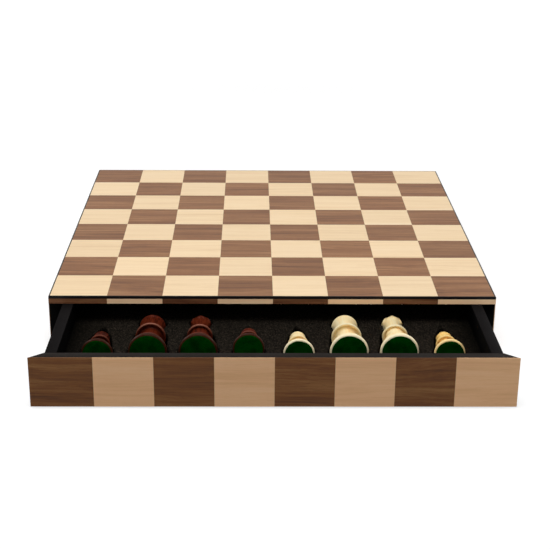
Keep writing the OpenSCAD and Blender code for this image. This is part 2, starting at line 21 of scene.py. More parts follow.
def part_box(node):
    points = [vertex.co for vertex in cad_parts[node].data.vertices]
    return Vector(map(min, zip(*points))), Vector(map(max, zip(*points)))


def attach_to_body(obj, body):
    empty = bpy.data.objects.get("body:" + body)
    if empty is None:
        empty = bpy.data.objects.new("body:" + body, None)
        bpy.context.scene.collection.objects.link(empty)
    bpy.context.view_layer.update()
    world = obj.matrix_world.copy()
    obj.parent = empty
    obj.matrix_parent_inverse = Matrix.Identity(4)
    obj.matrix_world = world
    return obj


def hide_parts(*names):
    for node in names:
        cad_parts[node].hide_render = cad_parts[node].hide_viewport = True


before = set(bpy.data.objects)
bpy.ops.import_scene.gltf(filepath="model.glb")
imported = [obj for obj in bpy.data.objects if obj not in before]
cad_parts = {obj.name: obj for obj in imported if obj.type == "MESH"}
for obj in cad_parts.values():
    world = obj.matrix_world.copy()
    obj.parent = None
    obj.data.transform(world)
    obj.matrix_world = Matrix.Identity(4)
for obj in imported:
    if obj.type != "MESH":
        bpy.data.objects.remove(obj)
LOG = logging.getLogger("chess_box")
MM = 0.001
SQUARE = 50 * MM
BEAD = 1.8 * MM
SMALL_BEAD = 1.4 * MM

Colour = tuple[int, int, int]
Socket = bpy.types.NodeSocket
Material = bpy.types.Material
Object = bpy.types.Object


def linear(colour: Colour) -> tuple[float, float, float, float]:
    """Turns a screen colour, from 0 to 255, into a shader's by the sRGB curve, with an alpha of 1.

    Args:
        colour: Red, green and blue as a screen shows them.

    Returns:
        Linear red, green and blue from 0 to 1, and the alpha.
    """
    share = np.array(colour) / 255
    value = np.where(share <= 0.04045, share / 12.92, ((share + 0.055) / 1.055) ** 2.4)
    return (*value.tolist(), 1.0)


def new_object(name: str, data: Any) -> Object:
    """Puts a mesh, lamp or camera into the scene as an object.

    Args:
        name: The object's name.
        data: The mesh, lamp or camera.

    Returns:
        The new object.
    """
    made = bpy.data.objects.new(name, data)
    bpy.context.scene.collection.objects.link(made)
    return made


# ---- Finishes -------------------------------------------------------------------------------


class Graph:
    """A node tree with one short method for each kind of node that the finishes use."""

    def __init__(self, tree: bpy.types.NodeTree) -> None:
        """Empties a tree of nodes and keeps it."""
        self.tree = tree
        tree.nodes.clear()

    def node(self, kind: str, inputs: dict[Any, Any], **settings: Any) -> bpy.types.Node:
        """Adds a node.

        Args:
            kind: The node's type without its ShaderNode prefix.
            inputs: Socket name or number to a value, or to the socket that feeds it.
            **settings: The node's own properties.

        Returns:
            The new node.
        """
        made = self.tree.nodes.new("ShaderNode" + kind)
        for name, value in settings.items():
            setattr(made, name, value)
        for name, value in inputs.items():
            if isinstance(value, Socket):
                self.tree.links.new(value, made.inputs[name])
            else:
                made.inputs[name].default_value = value
        return made

    def place(self) -> Socket:
        """The place on the object, in millimetres."""
        return self.scaled(self.node("TexCoord", {}).outputs["Object"], 1 / MM)

    def part(self, vector: Socket, axis: str) -> Socket:
        """A vector's X, Y or Z."""
        return self.node("SeparateXYZ", {0: vector}).outputs[axis]

    def attribute(self, name: str) -> Socket:
        """A number that the mesh holds for each of its points."""
        return self.node("Attribute", {}, attribute_name=name).outputs["Fac"]

    def scaled(self, vector: Socket, factor: float) -> Socket:
        """The vector times a number."""
        return self.node("VectorMath", {0: vector, "Scale": factor}, operation="SCALE").outputs[0]

    def vector(self, operation: str, *inputs: Any) -> Socket:
        """A vector worked out from others, by what Blender's Vector Math calls it."""
        return self.node("VectorMath", dict(enumerate(inputs)), operation=operation).outputs[0]

    def sum(self, operation: str, *inputs: Any) -> Socket:
        """A number worked out from others, by what Blender's Math calls it."""
        return self.node("Math", dict(enumerate(inputs)), operation=operation).outputs[0]

    def weighed(self, *parts: tuple[Socket, float]) -> Socket:
        """The sum of numbers that each have a weight."""
        shares = [self.sum("MULTIPLY", *part) for part in parts]
        return reduce(lambda total, share: self.sum("ADD", total, share), shares)

    def turned(self, vector: Socket, degrees: float) -> Socket:
        """The vector turned round Z."""
        turn = (0.0, 0.0, math.radians(degrees))
        return self.node("Mapping", {"Vector": vector, "Rotation": turn}).outputs[0]

    def noise(self, vector: Socket, along: float, across: float, detail: float, rough: float = 0.5) -> Socket:
        """Noise whose blots are drawn out along X.

        Args:
            vector: Place in millimetres.
            along: Length of a blot along X, in millimetres.
            across: Its width across X, in millimetres.
            detail: Octaves of finer noise.
            rough: Strength of the finer octaves.

        Returns:
            The noise, from 0 to 1.
        """
        stretched = self.vector("MULTIPLY", vector, (1 / along, 1 / across, 1 / across))
        inputs = {"Vector": stretched, "Scale": 1.0, "Detail": detail, "Roughness": rough}
        return self.node("TexNoise", inputs).outputs[0]

    def spread(self, value: Socket, low: float, high: float, to_low: float, to_high: float) -> Socket:
        """Moves a value from one range to another and stops it at the ends."""
        inputs = {"Value": value, 1: low, 2: high, 3: to_low, 4: to_high}
        return self.node("MapRange", inputs, clamp=True).outputs[0]

    def around(self, value: Socket, low: float, high: float, middle: float, half: float) -> Socket:
        """Moves a value from one range to the one that reaches half to either side of a middle."""
        return self.spread(value, low, high, middle - half, middle + half)

    def ramp(self, value: Socket, *stops: tuple[float, Colour]) -> Socket:
        """Colours a value by stops of (value, colour).

        Args:
            value: The value, from 0 to 1.
            *stops: The stops, from the lowest value to the highest.

        Returns:
            The colour.
        """
        made = self.node("ValToRGB", {"Fac": value})
        elements = made.color_ramp.elements
        while len(elements) < len(stops):
            elements.new(1.0)
        for element, (at, colour) in zip(elements, stops):
            element.position = at
            element.color = linear(colour)
        return made.outputs[0]

    def blend(self, share: Socket, first: Any, second: Colour) -> Socket:
        """Blends a shader's colour into a screen colour, by a share."""
        inputs = {0: share, 6: first, 7: linear(second)}
        return self.node("Mix", inputs, data_type="RGBA").outputs[2]

    def bump(self, height: Socket, depth: float, strength: float) -> Socket:
        """A normal that follows a height, whose full range is depth metres."""
        inputs = {"Height": height, "Distance": depth, "Strength": strength}
        return self.node("Bump", inputs).outputs[0]

    def surface(self, colour: Socket, roughness: Any, normal: Socket, **sockets: Any) -> None:
        """Ends the tree in a Principled shader.

        Args:
            colour: Base colour.
            roughness: Roughness, from 0 to 1.
            normal: The normal.
            **sockets: Constant values of further sockets, with _ for each space in their names.
        """
        inputs = {"Base Color": colour, "Roughness": roughness, "Normal": normal}
        inputs.update({name.replace("_", " "): value for name, value in sockets.items()})
        shader = self.node("BsdfPrincipled", inputs)
        self.node("OutputMaterial", {"Surface": shader.outputs[0]})


def new_material(name: str) -> tuple[Material, Graph]:
    """Makes an empty material and the graph to fill it with.

    Args:
        name: The material's name.

    Returns:
        The material and its graph.
    """
    material = bpy.data.materials.new(name)
    material.use_nodes = True
    return material, Graph(material.node_tree)


class Grain(Enum):
    """The way a veneer's grain runs, as the turn that brings it along X."""

    ALONG_X = 0.0
    ALONG_Y = 90.0


@dataclass(frozen=True)
class VeneerFinish:
    """Lacquered veneer, laid as leaves of one square's width that each have their own figure."""

    name: str
    deep: Colour  # the darkest streaks
    middle: Colour  # most of the leaf
    pale: Colour  # the lightest streaks
    pores: Colour  # what the open pores turn the wood to
    pore_share: float  # how strongly the pores show
    contrast: float  # how far apart the streaks are in tone
    leaf_tone: float  # how far the leaves differ from each other in tone
    roughness: float = 0.5
    gloss: float = 0.24

    outermost: ClassVar[float] = 0.998  # where the last leaves' figure is taken from, of half the board
    shift: ClassVar[float] = 900.0  # how far a leaf's figure may be shifted, in millimetres
    sway: ClassVar[float] = 7.0  # how far the grain sways, in millimetres
    noise_half: ClassVar[float] = 0.16  # how far the summed noises reach from their middle

    def material(self, grain: Grain) -> Material:
        """Makes the veneer with its grain in one direction.

        The tone is streaks, broad bands and fine lines, three noises drawn out along the grain, on
        a place that a slow noise bends sideways. Each leaf shifts that place by its own amount.
        Veneer outside the board's squares belongs to the leaf beside it.

        Args:
            grain: The way the grain runs.

        Returns:
            The material.
        """
        material, g = new_material(f"{self.name}_{grain.name.lower()}")
        spot = g.place()
        edge = self.outermost * 4 * SQUARE / MM
        inside = g.vector("MINIMUM", g.vector("MAXIMUM", spot, (-edge, -edge, 0.0)), (edge, edge, 0.0))
        leaf = g.vector("FLOOR", g.scaled(inside, MM / SQUARE))
        chance = g.node("TexWhiteNoise", {"Vector": leaf}, noise_dimensions="3D").outputs
        place = g.vector("ADD", g.turned(spot, grain.value), g.scaled(chance["Color"], self.shift))
        sway = g.around(g.noise(place, 120.0, 30.0, 1.0), 0.0, 1.0, 0.0, self.sway)
        bent = g.vector("ADD", place, g.node("CombineXYZ", {1: sway, 2: sway}).outputs[0])
        streaks = g.noise(bent, 90.0, 2.6, 5.0, 0.62)
        bands = g.noise(bent, 260.0, 11.0, 2.0)
        lines = g.noise(bent, 30.0, 0.7, 3.0, 0.6)
        tone = g.weighed((streaks, 0.45), (bands, 0.38), (lines, 0.17))
        tone = g.around(tone, 0.5 - self.noise_half, 0.5 + self.noise_half, 0.5, self.contrast / 2)
        colour = g.ramp(tone, (0.0, self.deep), (0.5, self.middle), (1.0, self.pale))
        pore = g.spread(g.noise(place, 7.0, 0.28, 1.0), 0.6, 0.72, 0.0, self.pore_share)
        colour = g.blend(pore, colour, self.pores)
        colour = g.vector("MULTIPLY", colour, g.around(chance["Value"], 0.0, 1.0, 1.0, self.leaf_tone))
        sheen = g.spread(lines, 0.2, 0.8, self.roughness - 0.05, self.roughness + 0.08)
        relief = g.sum("SUBTRACT", g.sum("MULTIPLY", lines, 0.5), pore)
        g.surface(colour, sheen, g.bump(relief, 0.06 * MM, 0.5), Specular_IOR_Level=self.gloss)
        return material


@dataclass(frozen=True)
class PaintFinish:
    """Sprayed paint on board, with a fine peel and a few paler scuffs."""

    name: str
    colour: Colour
    scuffed: Colour
    roughness: float
    gloss: float  # strength of its reflections
    painted_highlight: Colour | None = None  # painted highlight: a paler colour on the upper edges of the drawer's sides and back, as if lit from above

    # Above this height, in millimetres, only those edges carry the painted highlight.
    highlight_above: ClassVar[float] = 45.6
    highlight_over: ClassVar[float] = 0.3  # height over which the colour changes

    def material(self) -> Material:
        """Makes the paint: cloudy in tone, with a bump of fine noise for the sprayed peel, and, where it has
        one, a painted highlight on the upper edges.

        Returns:
            The material.
        """
        material, g = new_material(self.name)
        spot = g.place()
        cloud = g.noise(spot, 22.0, 22.0, 3.0)
        scuff = g.noise(spot, 9.0, 1.2, 4.0, 0.7)
        cloudy = g.spread(cloud, 0.35, 0.75, 0.0, 0.6)
        scuffed = g.sum("MULTIPLY", cloudy, g.spread(scuff, 0.45, 0.75, 0.0, 1.0))
        colour = g.blend(scuffed, linear(self.colour), self.scuffed)
        # Painted highlight: above a height, the upper edges turn paler as if lit from above.
        if self.painted_highlight:
            full = self.highlight_above + self.highlight_over
            edge = g.spread(g.part(spot, "Z"), self.highlight_above, full, 0.0, 1.0)
            colour = g.blend(edge, colour, self.painted_highlight)
        peel = g.bump(g.noise(spot, 0.9, 0.9, 2.0), 0.03 * MM, 0.4)
        rough = g.around(cloud, 0.3, 0.7, self.roughness, 0.06)
        g.surface(colour, rough, peel, Specular_IOR_Level=self.gloss)
        return material


@dataclass(frozen=True)
class FoamFinish:
    """Cut foam with a speckled skin: dark cells between paler cell walls."""

    name: str
    pit: Colour  # inside the cells
    body: Colour  # the skin
    speck: Colour  # the cell walls that catch the light
    cut: Colour  # painted shade: a near-black on the pockets' walls and on the skin along the sides, where shade falls
    skin: float  # height of the skin over the pockets' walls, in millimetres
    skin_deep: float  # depth over which the skin turns to the painted shade of the pockets' walls
    shade_from: float  # how far from the middle the skin stays free of the painted shade along the sides
    fade: float  # width over which that painted shade then deepens
    side_shade: float  # how far the painted shade reaches along the sides

    def material(self) -> Material:
        """Makes the foam: a Voronoi of cells gives the walls, and two noises scatter the specks. Painted
        shade turns the pockets' walls and the skin along the sides near-black.

        Returns:
            The material.
        """
        material, g = new_material(self.name)
        spot = g.place()
        cells = g.node("TexVoronoi", {"Vector": spot, "Scale": 0.9, "Randomness": 1.0}).outputs["Distance"]
        grit = g.noise(spot, 0.8, 0.8, 3.0, 0.7)
        weave = g.noise(spot, 3.5, 1.1, 2.0)
        tone = g.weighed((cells, 0.45), (grit, 0.75), (weave, 0.2))
        colour = g.ramp(tone, (0.5, self.pit), (0.68, self.body), (0.95, self.speck))
        # Painted shade: down the pockets' walls and towards the sides, the colour turns near-black.
        low = g.spread(g.part(spot, "Z"), self.skin - self.skin_deep, self.skin, 1.0, 0.0)
        aside = g.sum("ABSOLUTE", g.part(spot, "X"))
        beside = g.spread(aside, self.shade_from, self.shade_from + self.fade, 0.0, self.side_shade)
        colour = g.blend(g.sum("MAXIMUM", low, beside), colour, self.cut)
        g.surface(colour, 0.95, g.bump(tone, 0.5 * MM, 0.8), Specular_IOR_Level=0.02)
        return material


@dataclass(frozen=True)
class FeltFinish:
    """Pressed felt with short fibres."""

    name: str
    deep: Colour  # between the fibres
    body: Colour  # the fibres
    sheen: float  # strength of the fibres' sheen

    def material(self) -> Material:
        """Makes the felt: crossed fine noises for the fibres, and a slow one for worn patches.

        Returns:
            The material.
        """
        material, g = new_material(self.name)
        spot = g.place()
        fibres = g.sum("MAXIMUM", *(g.noise(way, 1.6, 0.22, 2.0) for way in (spot, g.turned(spot, 90.0))))
        tone = g.weighed((fibres, 0.6), (g.noise(spot, 7.0, 7.0, 2.0), 0.4))
        colour = g.ramp(tone, (0.38, self.deep), (0.62, self.body))
        sockets = {"Specular_IOR_Level": 0.01, "Sheen_Weight": self.sheen, "Sheen_Roughness": 0.5}
        g.surface(colour, 0.92, g.bump(fibres, 0.25 * MM, 0.6), **sockets)
        return material


@dataclass(frozen=True)
class TurnedFinish:
    """Turned and polished wood, its grain along the chessman as it lies, from front to back."""

    name: str
    deep: Colour  # the dark lines of the grain
    body: Colour  # the wood
    pale: Colour  # the light lines
    rim_highlight: Colour  # painted highlight: a paler colour on sharp rims and the collar's upper edge, as if they caught the light
    foot: Colour  # the ring at the foot, in a painted tone: darker on dark pieces as painted shade, paler on light ones as painted light
    roughness: float = 0.4
    coat: float = 0.03  # strength of the polish

    foot_share: ClassVar[float] = 0.9  # how far the foot takes its own colour
    foot_full: ClassVar[float] = 3.0  # height up to which it does so fully, in millimetres
    foot_end: ClassVar[float] = 6.0  # height where it ends

    def material(self) -> Material:
        """Makes the wood: two noises drawn out along Y, with a painted highlight at rims and a painted tone
        of light and shade at the foot.

        The meshes hold how strongly a point carries the collar's painted highlight, and how high it is over
        the chessman's base, as axis_height in millimetres. Pointiness finds the other sharp rims, which get
        the painted highlight too.

        Returns:
            The material.
        """
        material, g = new_material(self.name)
        spot = g.turned(g.place(), 90.0)
        lines = g.noise(spot, 40.0, 1.3, 4.0, 0.6)
        tone = g.weighed((lines, 0.6), (g.noise(spot, 60.0, 9.0, 2.0), 0.4))
        colour = g.ramp(tone, (0.34, self.deep), (0.5, self.body), (0.68, self.pale))
        # Painted highlight: sharp rims and the collar's upper edge turn towards a paler colour.
        rim = g.spread(g.node("NewGeometry", {}).outputs["Pointiness"], 0.56, 0.66, 0.0, 0.65)
        colour = g.blend(g.sum("MAXIMUM", rim, g.attribute("collar_highlight")), colour, self.rim_highlight)
        # Painted light and shade at the foot ring: its own tone near the base.
        foot = g.spread(g.attribute("axis_height"), self.foot_full, self.foot_end, self.foot_share, 0.0)
        colour = g.blend(foot, colour, self.foot)
        rough = g.spread(lines, 0.2, 0.8, self.roughness - 0.04, self.roughness + 0.06)
        sockets = {"Specular_IOR_Level": 0.03, "Coat_Weight": self.coat, "Coat_Roughness": 0.2}
        g.surface(colour, rough, g.bump(lines, 0.05 * MM, 0.35), **sockets)
        return material


WALNUT = VeneerFinish("walnut", (80, 45, 22), (130, 87, 53), (160, 119, 82), (62, 35, 18), 0.5, 0.9, 0.07)
MAPLE = VeneerFinish(
    "maple", (218, 184, 140), (238, 210, 170), (245, 222, 188), (212, 176, 132), 0.25, 0.6, 0.03
)
# The next four are copies of the board's veneers whose tones carry painted light and shade: the first two,
# darker and warmer, stand for the shade on upright faces, and the last two are for the rail, whose paler
# maple makes up for the shade over it.
SHADED_EDGE_WALNUT = VeneerFinish(
    "shaded_edge_walnut", (64, 33, 11), (110, 67, 30), (138, 97, 56), (52, 28, 10), 0.5, 1.0, 0.08
)
SHADED_EDGE_MAPLE = VeneerFinish(
    "shaded_edge_maple", (208, 158, 112), (230, 183, 138), (238, 198, 156), (200, 150, 104), 0.25, 0.6, 0.05
)
STRIP_WALNUT = VeneerFinish(
    "strip_walnut", (66, 34, 16), (116, 74, 45), (148, 106, 72), (54, 29, 14), 0.5, 1.0, 0.08
)
LIT_STRIP_MAPLE = VeneerFinish(
    "lit_strip_maple", (234, 186, 140), (253, 212, 168), (254, 224, 184), (226, 178, 130), 0.25, 0.6, 0.05
)
BOARD_BLACK = PaintFinish("board_black", (12, 12, 12), (26, 25, 24), 0.6, 0.05)
# The drawer's black paint is darkened to near-black as painted shade on its inner faces, and its upper edges
# carry a paler painted highlight.
DRAWER_BLACK = PaintFinish("drawer_black", (1, 1, 1), (5, 4, 4), 0.7, 0.02, (17, 15, 15))
FRONT_BLACK = PaintFinish("front_black", (25, 20, 17), (40, 32, 27), 0.6, 0.03)
EDGING_BLACK = PaintFinish("edging_black", (18, 16, 16), (38, 32, 28), 0.45, 0.12)
FOAM_GREY = FoamFinish(
    "foam_grey", (3, 3, 2), (17, 15, 12), (58, 51, 43), (2, 2, 1), 26.2, 3.5, 150.0, 29.0, 0.88
)
PIECE_FELT = FeltFinish("piece_felt", (0, 28, 1), (0, 64, 5), 0.0)
BASE_FELT = FeltFinish("base_felt", (2, 40, 20), (10, 78, 36), 0.15)
# Each turned wood's fourth colour is a painted highlight on rims, and its fifth a painted tone of light and
# shade on the foot ring.
DARK_WOOD = TurnedFinish(
    "dark_wood", (34, 9, 4), (80, 27, 13), (108, 46, 24), (140, 90, 72), (50, 24, 11), 0.45, 0.04
)
LIGHT_WOOD = TurnedFinish(
    "light_wood", (255, 214, 148), (255, 231, 176), (255, 241, 200), (255, 242, 202), (255, 240, 202)
)
AMBER_WOOD = TurnedFinish(
    "amber_wood", (248, 178, 92), (255, 210, 124), (255, 224, 152), (255, 232, 172), (255, 222, 158)
)


# ---- Meshes ---------------------------------------------------------------------------------


def quads(near: np.ndarray, ahead: np.ndarray) -> list[list[int]]:
    """Faces between rows of numbered points, each from a point in near to its neighbour in ahead."""
    return np.stack([near[:-1], ahead[:-1], ahead[1:], near[1:]], axis=-1).reshape(-1, 4).tolist()


class Shape:
    """Closed surfaces that are gathered as whole arrays and become one mesh."""

    def __init__(self) -> None:
        """Starts with no surface."""
        self.points: list[np.ndarray] = []
        self.faces: list[list[int]] = []
        self.count = 0

    def add(self, points: np.ndarray, faces: list[list[int]]) -> None:
        """Adds a surface, given as points and as faces that number those points.

        Args:
            points: Rows of x, y and z.
            faces: The numbers of each face's points, counted from this surface's first.
        """
        self.points.append(points)
        self.faces.extend([[i + self.count for i in face] for face in faces])
        self.count += len(points)

    def add_tube(
        self, rings: np.ndarray, first: np.ndarray | None = None, last: np.ndarray | None = None
    ) -> None:
        """Adds a grid of rings, closed by a point at each end.

        Args:
            rings: Points as (ring, place in the ring, xyz). The faces point outwards when a ring
                runs counter-clockwise seen from the last end.
            first: The point that closes the first ring, or None for the ring's middle.
            last: The point that closes the last ring, likewise.
        """
        first = rings[0].mean(axis=0) if first is None else first
        last = rings[-1].mean(axis=0) if last is None else last
        count, around = rings.shape[:2]
        numbers = np.arange(count * around).reshape(count, around)
        ahead = np.roll(numbers, -1, axis=1)
        start = np.full(around, count * around)
        low = np.column_stack([ahead[0], numbers[0], start])
        high = np.column_stack([numbers[-1], ahead[-1], start + 1])
        points = np.vstack([rings.reshape(-1, 3), first, last])
        self.add(points, quads(numbers, ahead) + low.tolist() + high.tolist())

    def move(self, turn: np.ndarray, shift: np.ndarray) -> None:
        """Turns every point by a 3 by 3 matrix, then shifts it."""
        self.points = [points @ turn.T + shift for points in self.points]

    def object(self, name: str, material: Material, crease: float = 40.0) -> Object:
        """Makes the object, smooth but for edges sharper than crease degrees.

        Args:
            name: Its name.
            material: Its only material.
            crease: Angle in degrees from which an edge stays sharp.

        Returns:
            The object.
        """
        mesh = bpy.data.meshes.new(name)
        mesh.from_pydata(np.vstack(self.points), [], self.faces)
        mesh.materials.append(material)
        mesh.shade_smooth()
        mesh.set_sharp_from_angle(angle=math.radians(crease))
        return new_object(name, mesh)


def attach(piece: Object, body: str, slot: str, *nodes: str) -> Object:
    """Lets a piece ride on a body and stand for CAD nodes.

    Args:
        piece: The piece.
        body: The body that it moves with.
        slot: Not used.
        *nodes: The CAD nodes that it replaces.

    Returns:
        The piece.
    """
    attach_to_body(piece, body)
    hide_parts(*nodes)
    LOG.info("%s rides on %s and stands for %s", piece.name, body, ", ".join(nodes))
    return piece


def dress(node: str, material: Material) -> None:
    """Gives a CAD node's object a material.

    Args:
        node: The node's name.
        material: Its only material from now on.
    """
    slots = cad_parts[node].data.materials
    slots.clear()
    slots.append(material)
    LOG.info("%s keeps its CAD shape, in %s", node, material.name)


def node_points(node: str) -> np.ndarray:
    """Reads the corners of a CAD node's mesh.

    Args:
        node: The node's name.

    Returns:
        Rows of x, y and z.
    """
    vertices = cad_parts[node].data.vertices
    flat = np.zeros(len(vertices) * 3, np.float32)
    vertices.foreach_get("co", flat)
    return flat.reshape(-1, 3).astype(float)


def clusters(values: np.ndarray, gap: float) -> list[tuple[float, float]]:
    """Splits numbers into groups.

    Args:
        values: The numbers.
        gap: Two groups have more than this between them.

    Returns:
        The lowest and highest number of each group, in order.
    """
    ordered = np.sort(values)
    breaks = np.flatnonzero(np.diff(ordered) > gap)
    lows = ordered[np.concatenate([[0], breaks + 1])]
    highs = ordered[np.concatenate([breaks, [len(ordered) - 1]])]
    return list(zip(lows.tolist(), highs.tolist()))


# ---- Board and case -------------------------------------------------------------------------


@dataclass
class Panels:
    """Painted boards, whose edges are eased as a sander leaves them."""

    ease: float = 0.4 * MM  # radius of an eased edge
    steps: int = 2  # facets in the radius
    loose: float = 0.001 * MM  # how far apart the corners are that the CAD mesh holds twice
    flat: float = 1.0  # degrees that two triangles of one face may differ by
    sharp: float = 30.0  # degrees from which an edge is eased

    def build(self, node: str, body: str, slot: str, material: Material) -> Object:
        """Stands for a CAD panel with a copy of it whose edges are eased.

        The copy's loose triangles are merged and its flat faces joined, so that the bevel finds
        only the panel's own edges.

        Args:
            node: The panel's CAD node.
            body: The body it rides on.
            slot: Passed on to attach, which does not use it.
            material: Its paint.

        Returns:
            The eased panel.
        """
        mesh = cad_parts[node].data.copy()
        work = bmesh.new()
        work.from_mesh(mesh)
        bmesh.ops.remove_doubles(work, verts=work.verts, dist=self.loose)
        flat = math.radians(self.flat)
        bmesh.ops.dissolve_limit(work, angle_limit=flat, verts=work.verts, edges=work.edges)
        work.to_mesh(mesh)
        work.free()
        mesh.materials.clear()
        mesh.materials.append(material)
        mesh.shade_smooth()
        piece = new_object(f"{node}_eased", mesh)
        bevel = piece.modifiers.new("ease", "BEVEL")
        bevel.width = self.ease
        bevel.segments = self.steps
        bevel.limit_method = "ANGLE"
        bevel.angle_limit = math.radians(self.sharp)
        bevel.harden_normals = True
        return attach(piece, body, slot, node)


@dataclass
class Board:
    """The playing surface: 64 leaves of veneer, black edging and the front rail's strips."""

    veneers: ClassVar[dict[str, VeneerFinish]] = {
        "board_light_squares": MAPLE,
        "board_dark_squares": WALNUT,
        "rail_light_strips": LIT_STRIP_MAPLE,
        "rail_dark_strips": STRIP_WALNUT,
    }

    def build(self) -> None:
        """Dresses the veneers, the edging and the core."""
        for node, finish in self.veneers.items():
            dress(node, finish.material(Grain.ALONG_X))
        dress("board_edging", EDGING_BLACK.material())
        dress("top_core", BOARD_BLACK.material())


@dataclass
class Case:
    """The case under the board: three walls, a bottom, veneered outsides, stops and a felt base."""

    panels: Panels = field(default_factory=Panels)
    felt_step: float = 4 * MM  # between the felt's grid lines
    felt_round: float = 0.3 * MM  # radius of its cut edge
    felt_nap: float = 0.05 * MM
    painted: tuple[str, ...] = (
        "left_side_panel", "right_side_panel", "back_panel", "bottom_panel", "stop_blocks",
    )

    def build(self) -> None:
        """Builds the walls, the outside veneers and the felt."""
        paint = BOARD_BLACK.material()
        for node in self.painted:
            self.panels.build(node, "case", "case_paint", paint)
        for side, grain in (("left", Grain.ALONG_Y), ("right", Grain.ALONG_Y), ("back", Grain.ALONG_X)):
            dress(f"{side}_light_veneers", SHADED_EDGE_MAPLE.material(grain))
            dress(f"{side}_dark_veneers", SHADED_EDGE_WALNUT.material(grain))
        self.build_felt()

    def build_felt(self) -> None:
        """Builds the base felt: two napped sheets joined by a rounded edge.

        A ring of the tube is a rectangle with the sheet's proportions, from the middle of the
        underside out to the edge, round it, and back to the middle of the top.
        """
        low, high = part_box("base_felt")
        centre = np.array((low + high) / 2)
        half = np.array((high - low) / 2)
        side = np.linspace(-1, 1, int(2 * half[0] / self.felt_step))
        ends = np.full(len(side), 1.0)
        unit = np.vstack([
            np.column_stack([side, -ends])[:-1],
            np.column_stack([ends, side])[:-1],
            np.column_stack([-side, ends])[:-1],
            np.column_stack([-ends, -side])[:-1],
        ])
        bend = np.linspace(-math.pi / 2, math.pi / 2, 7)
        flat_out = np.linspace(0.1, 0.96, 16)
        none, full = np.zeros(len(flat_out)), np.ones(len(flat_out))
        out = np.concatenate([flat_out, np.ones(len(bend)), flat_out[::-1]])
        rim = np.concatenate([none, np.cos(bend), none])
        rise = np.concatenate([-full, np.sin(bend), full])
        reach = out[:, None, None] * (half[:2] - self.felt_round) + rim[:, None, None] * self.felt_round
        flat = unit[None] * reach
        random = np.random.default_rng(7)
        nap = self.felt_nap * random.random(flat.shape[:2])
        rings = np.dstack([flat, rise[:, None] * (half[2] - nap)]) + centre
        shape = Shape()
        shape.add_tube(rings, centre - (0, 0, half[2]), centre + (0, 0, half[2]))
        piece = shape.object("base_felt_sheet", BASE_FELT.material())
        attach(piece, "case", "base_felt", "base_felt")


# ---- Chessmen -------------------------------------------------------------------------------


def arc(
    across: float, up: float, wide: float, tall: float, start: float, end: float, steps: int
) -> np.ndarray:
    """Points along an ellipse round (across, up), between two angles in degrees from straight out."""
    angle = np.radians(np.linspace(start, end, steps + 1))
    return np.column_stack([across + wide * np.cos(angle), up + tall * np.sin(angle)])


def round_angles(count: int) -> np.ndarray:
    """Angles once round, in even steps."""
    return np.arange(count) * 2 * math.pi / count


def revolve(outline: np.ndarray, angle: np.ndarray, reach: np.ndarray | float = 1.0) -> np.ndarray:
    """Carries an outline of (radius, height) round the Z axis, each radius times its reach.

    Args:
        outline: The outline.
        angle: The angles round the axis.
        reach: A factor for each point of the outline at each angle, or one for all.

    Returns:
        Points as (ring, place in the ring, xyz).
    """
    radius = outline[:, 0, None] * reach
    height = np.repeat(outline[:, 1, None], len(angle), axis=1)
    return np.dstack([radius * np.cos(angle), radius * np.sin(angle), height])


def ring(radius: float, height: float, thick: float) -> np.ndarray:
    """A rounded ring of a profile, from height to height + thick."""
    return arc(radius - thick / 2, height + thick / 2, thick / 2, thick / 2, -90, 90, 10)


@dataclass(frozen=True)
class Place:
    """Where a chessman lies, read from its felt."""

    foot: float  # radius of its foot
    base: tuple[float, float, float]  # the middle of its base
    lie: float  # angle at which it lies head down, in radians
    row_end: float  # where the pockets of its row have to end

    def turn(self) -> np.ndarray:
        """The matrix that lays a standing chessman down with its head to the back."""
        sine, cosine = math.sin(self.lie), math.cos(self.lie)
        return np.array([[1, 0, 0], [0, -sine, cosine], [0, -cosine, -sine]])


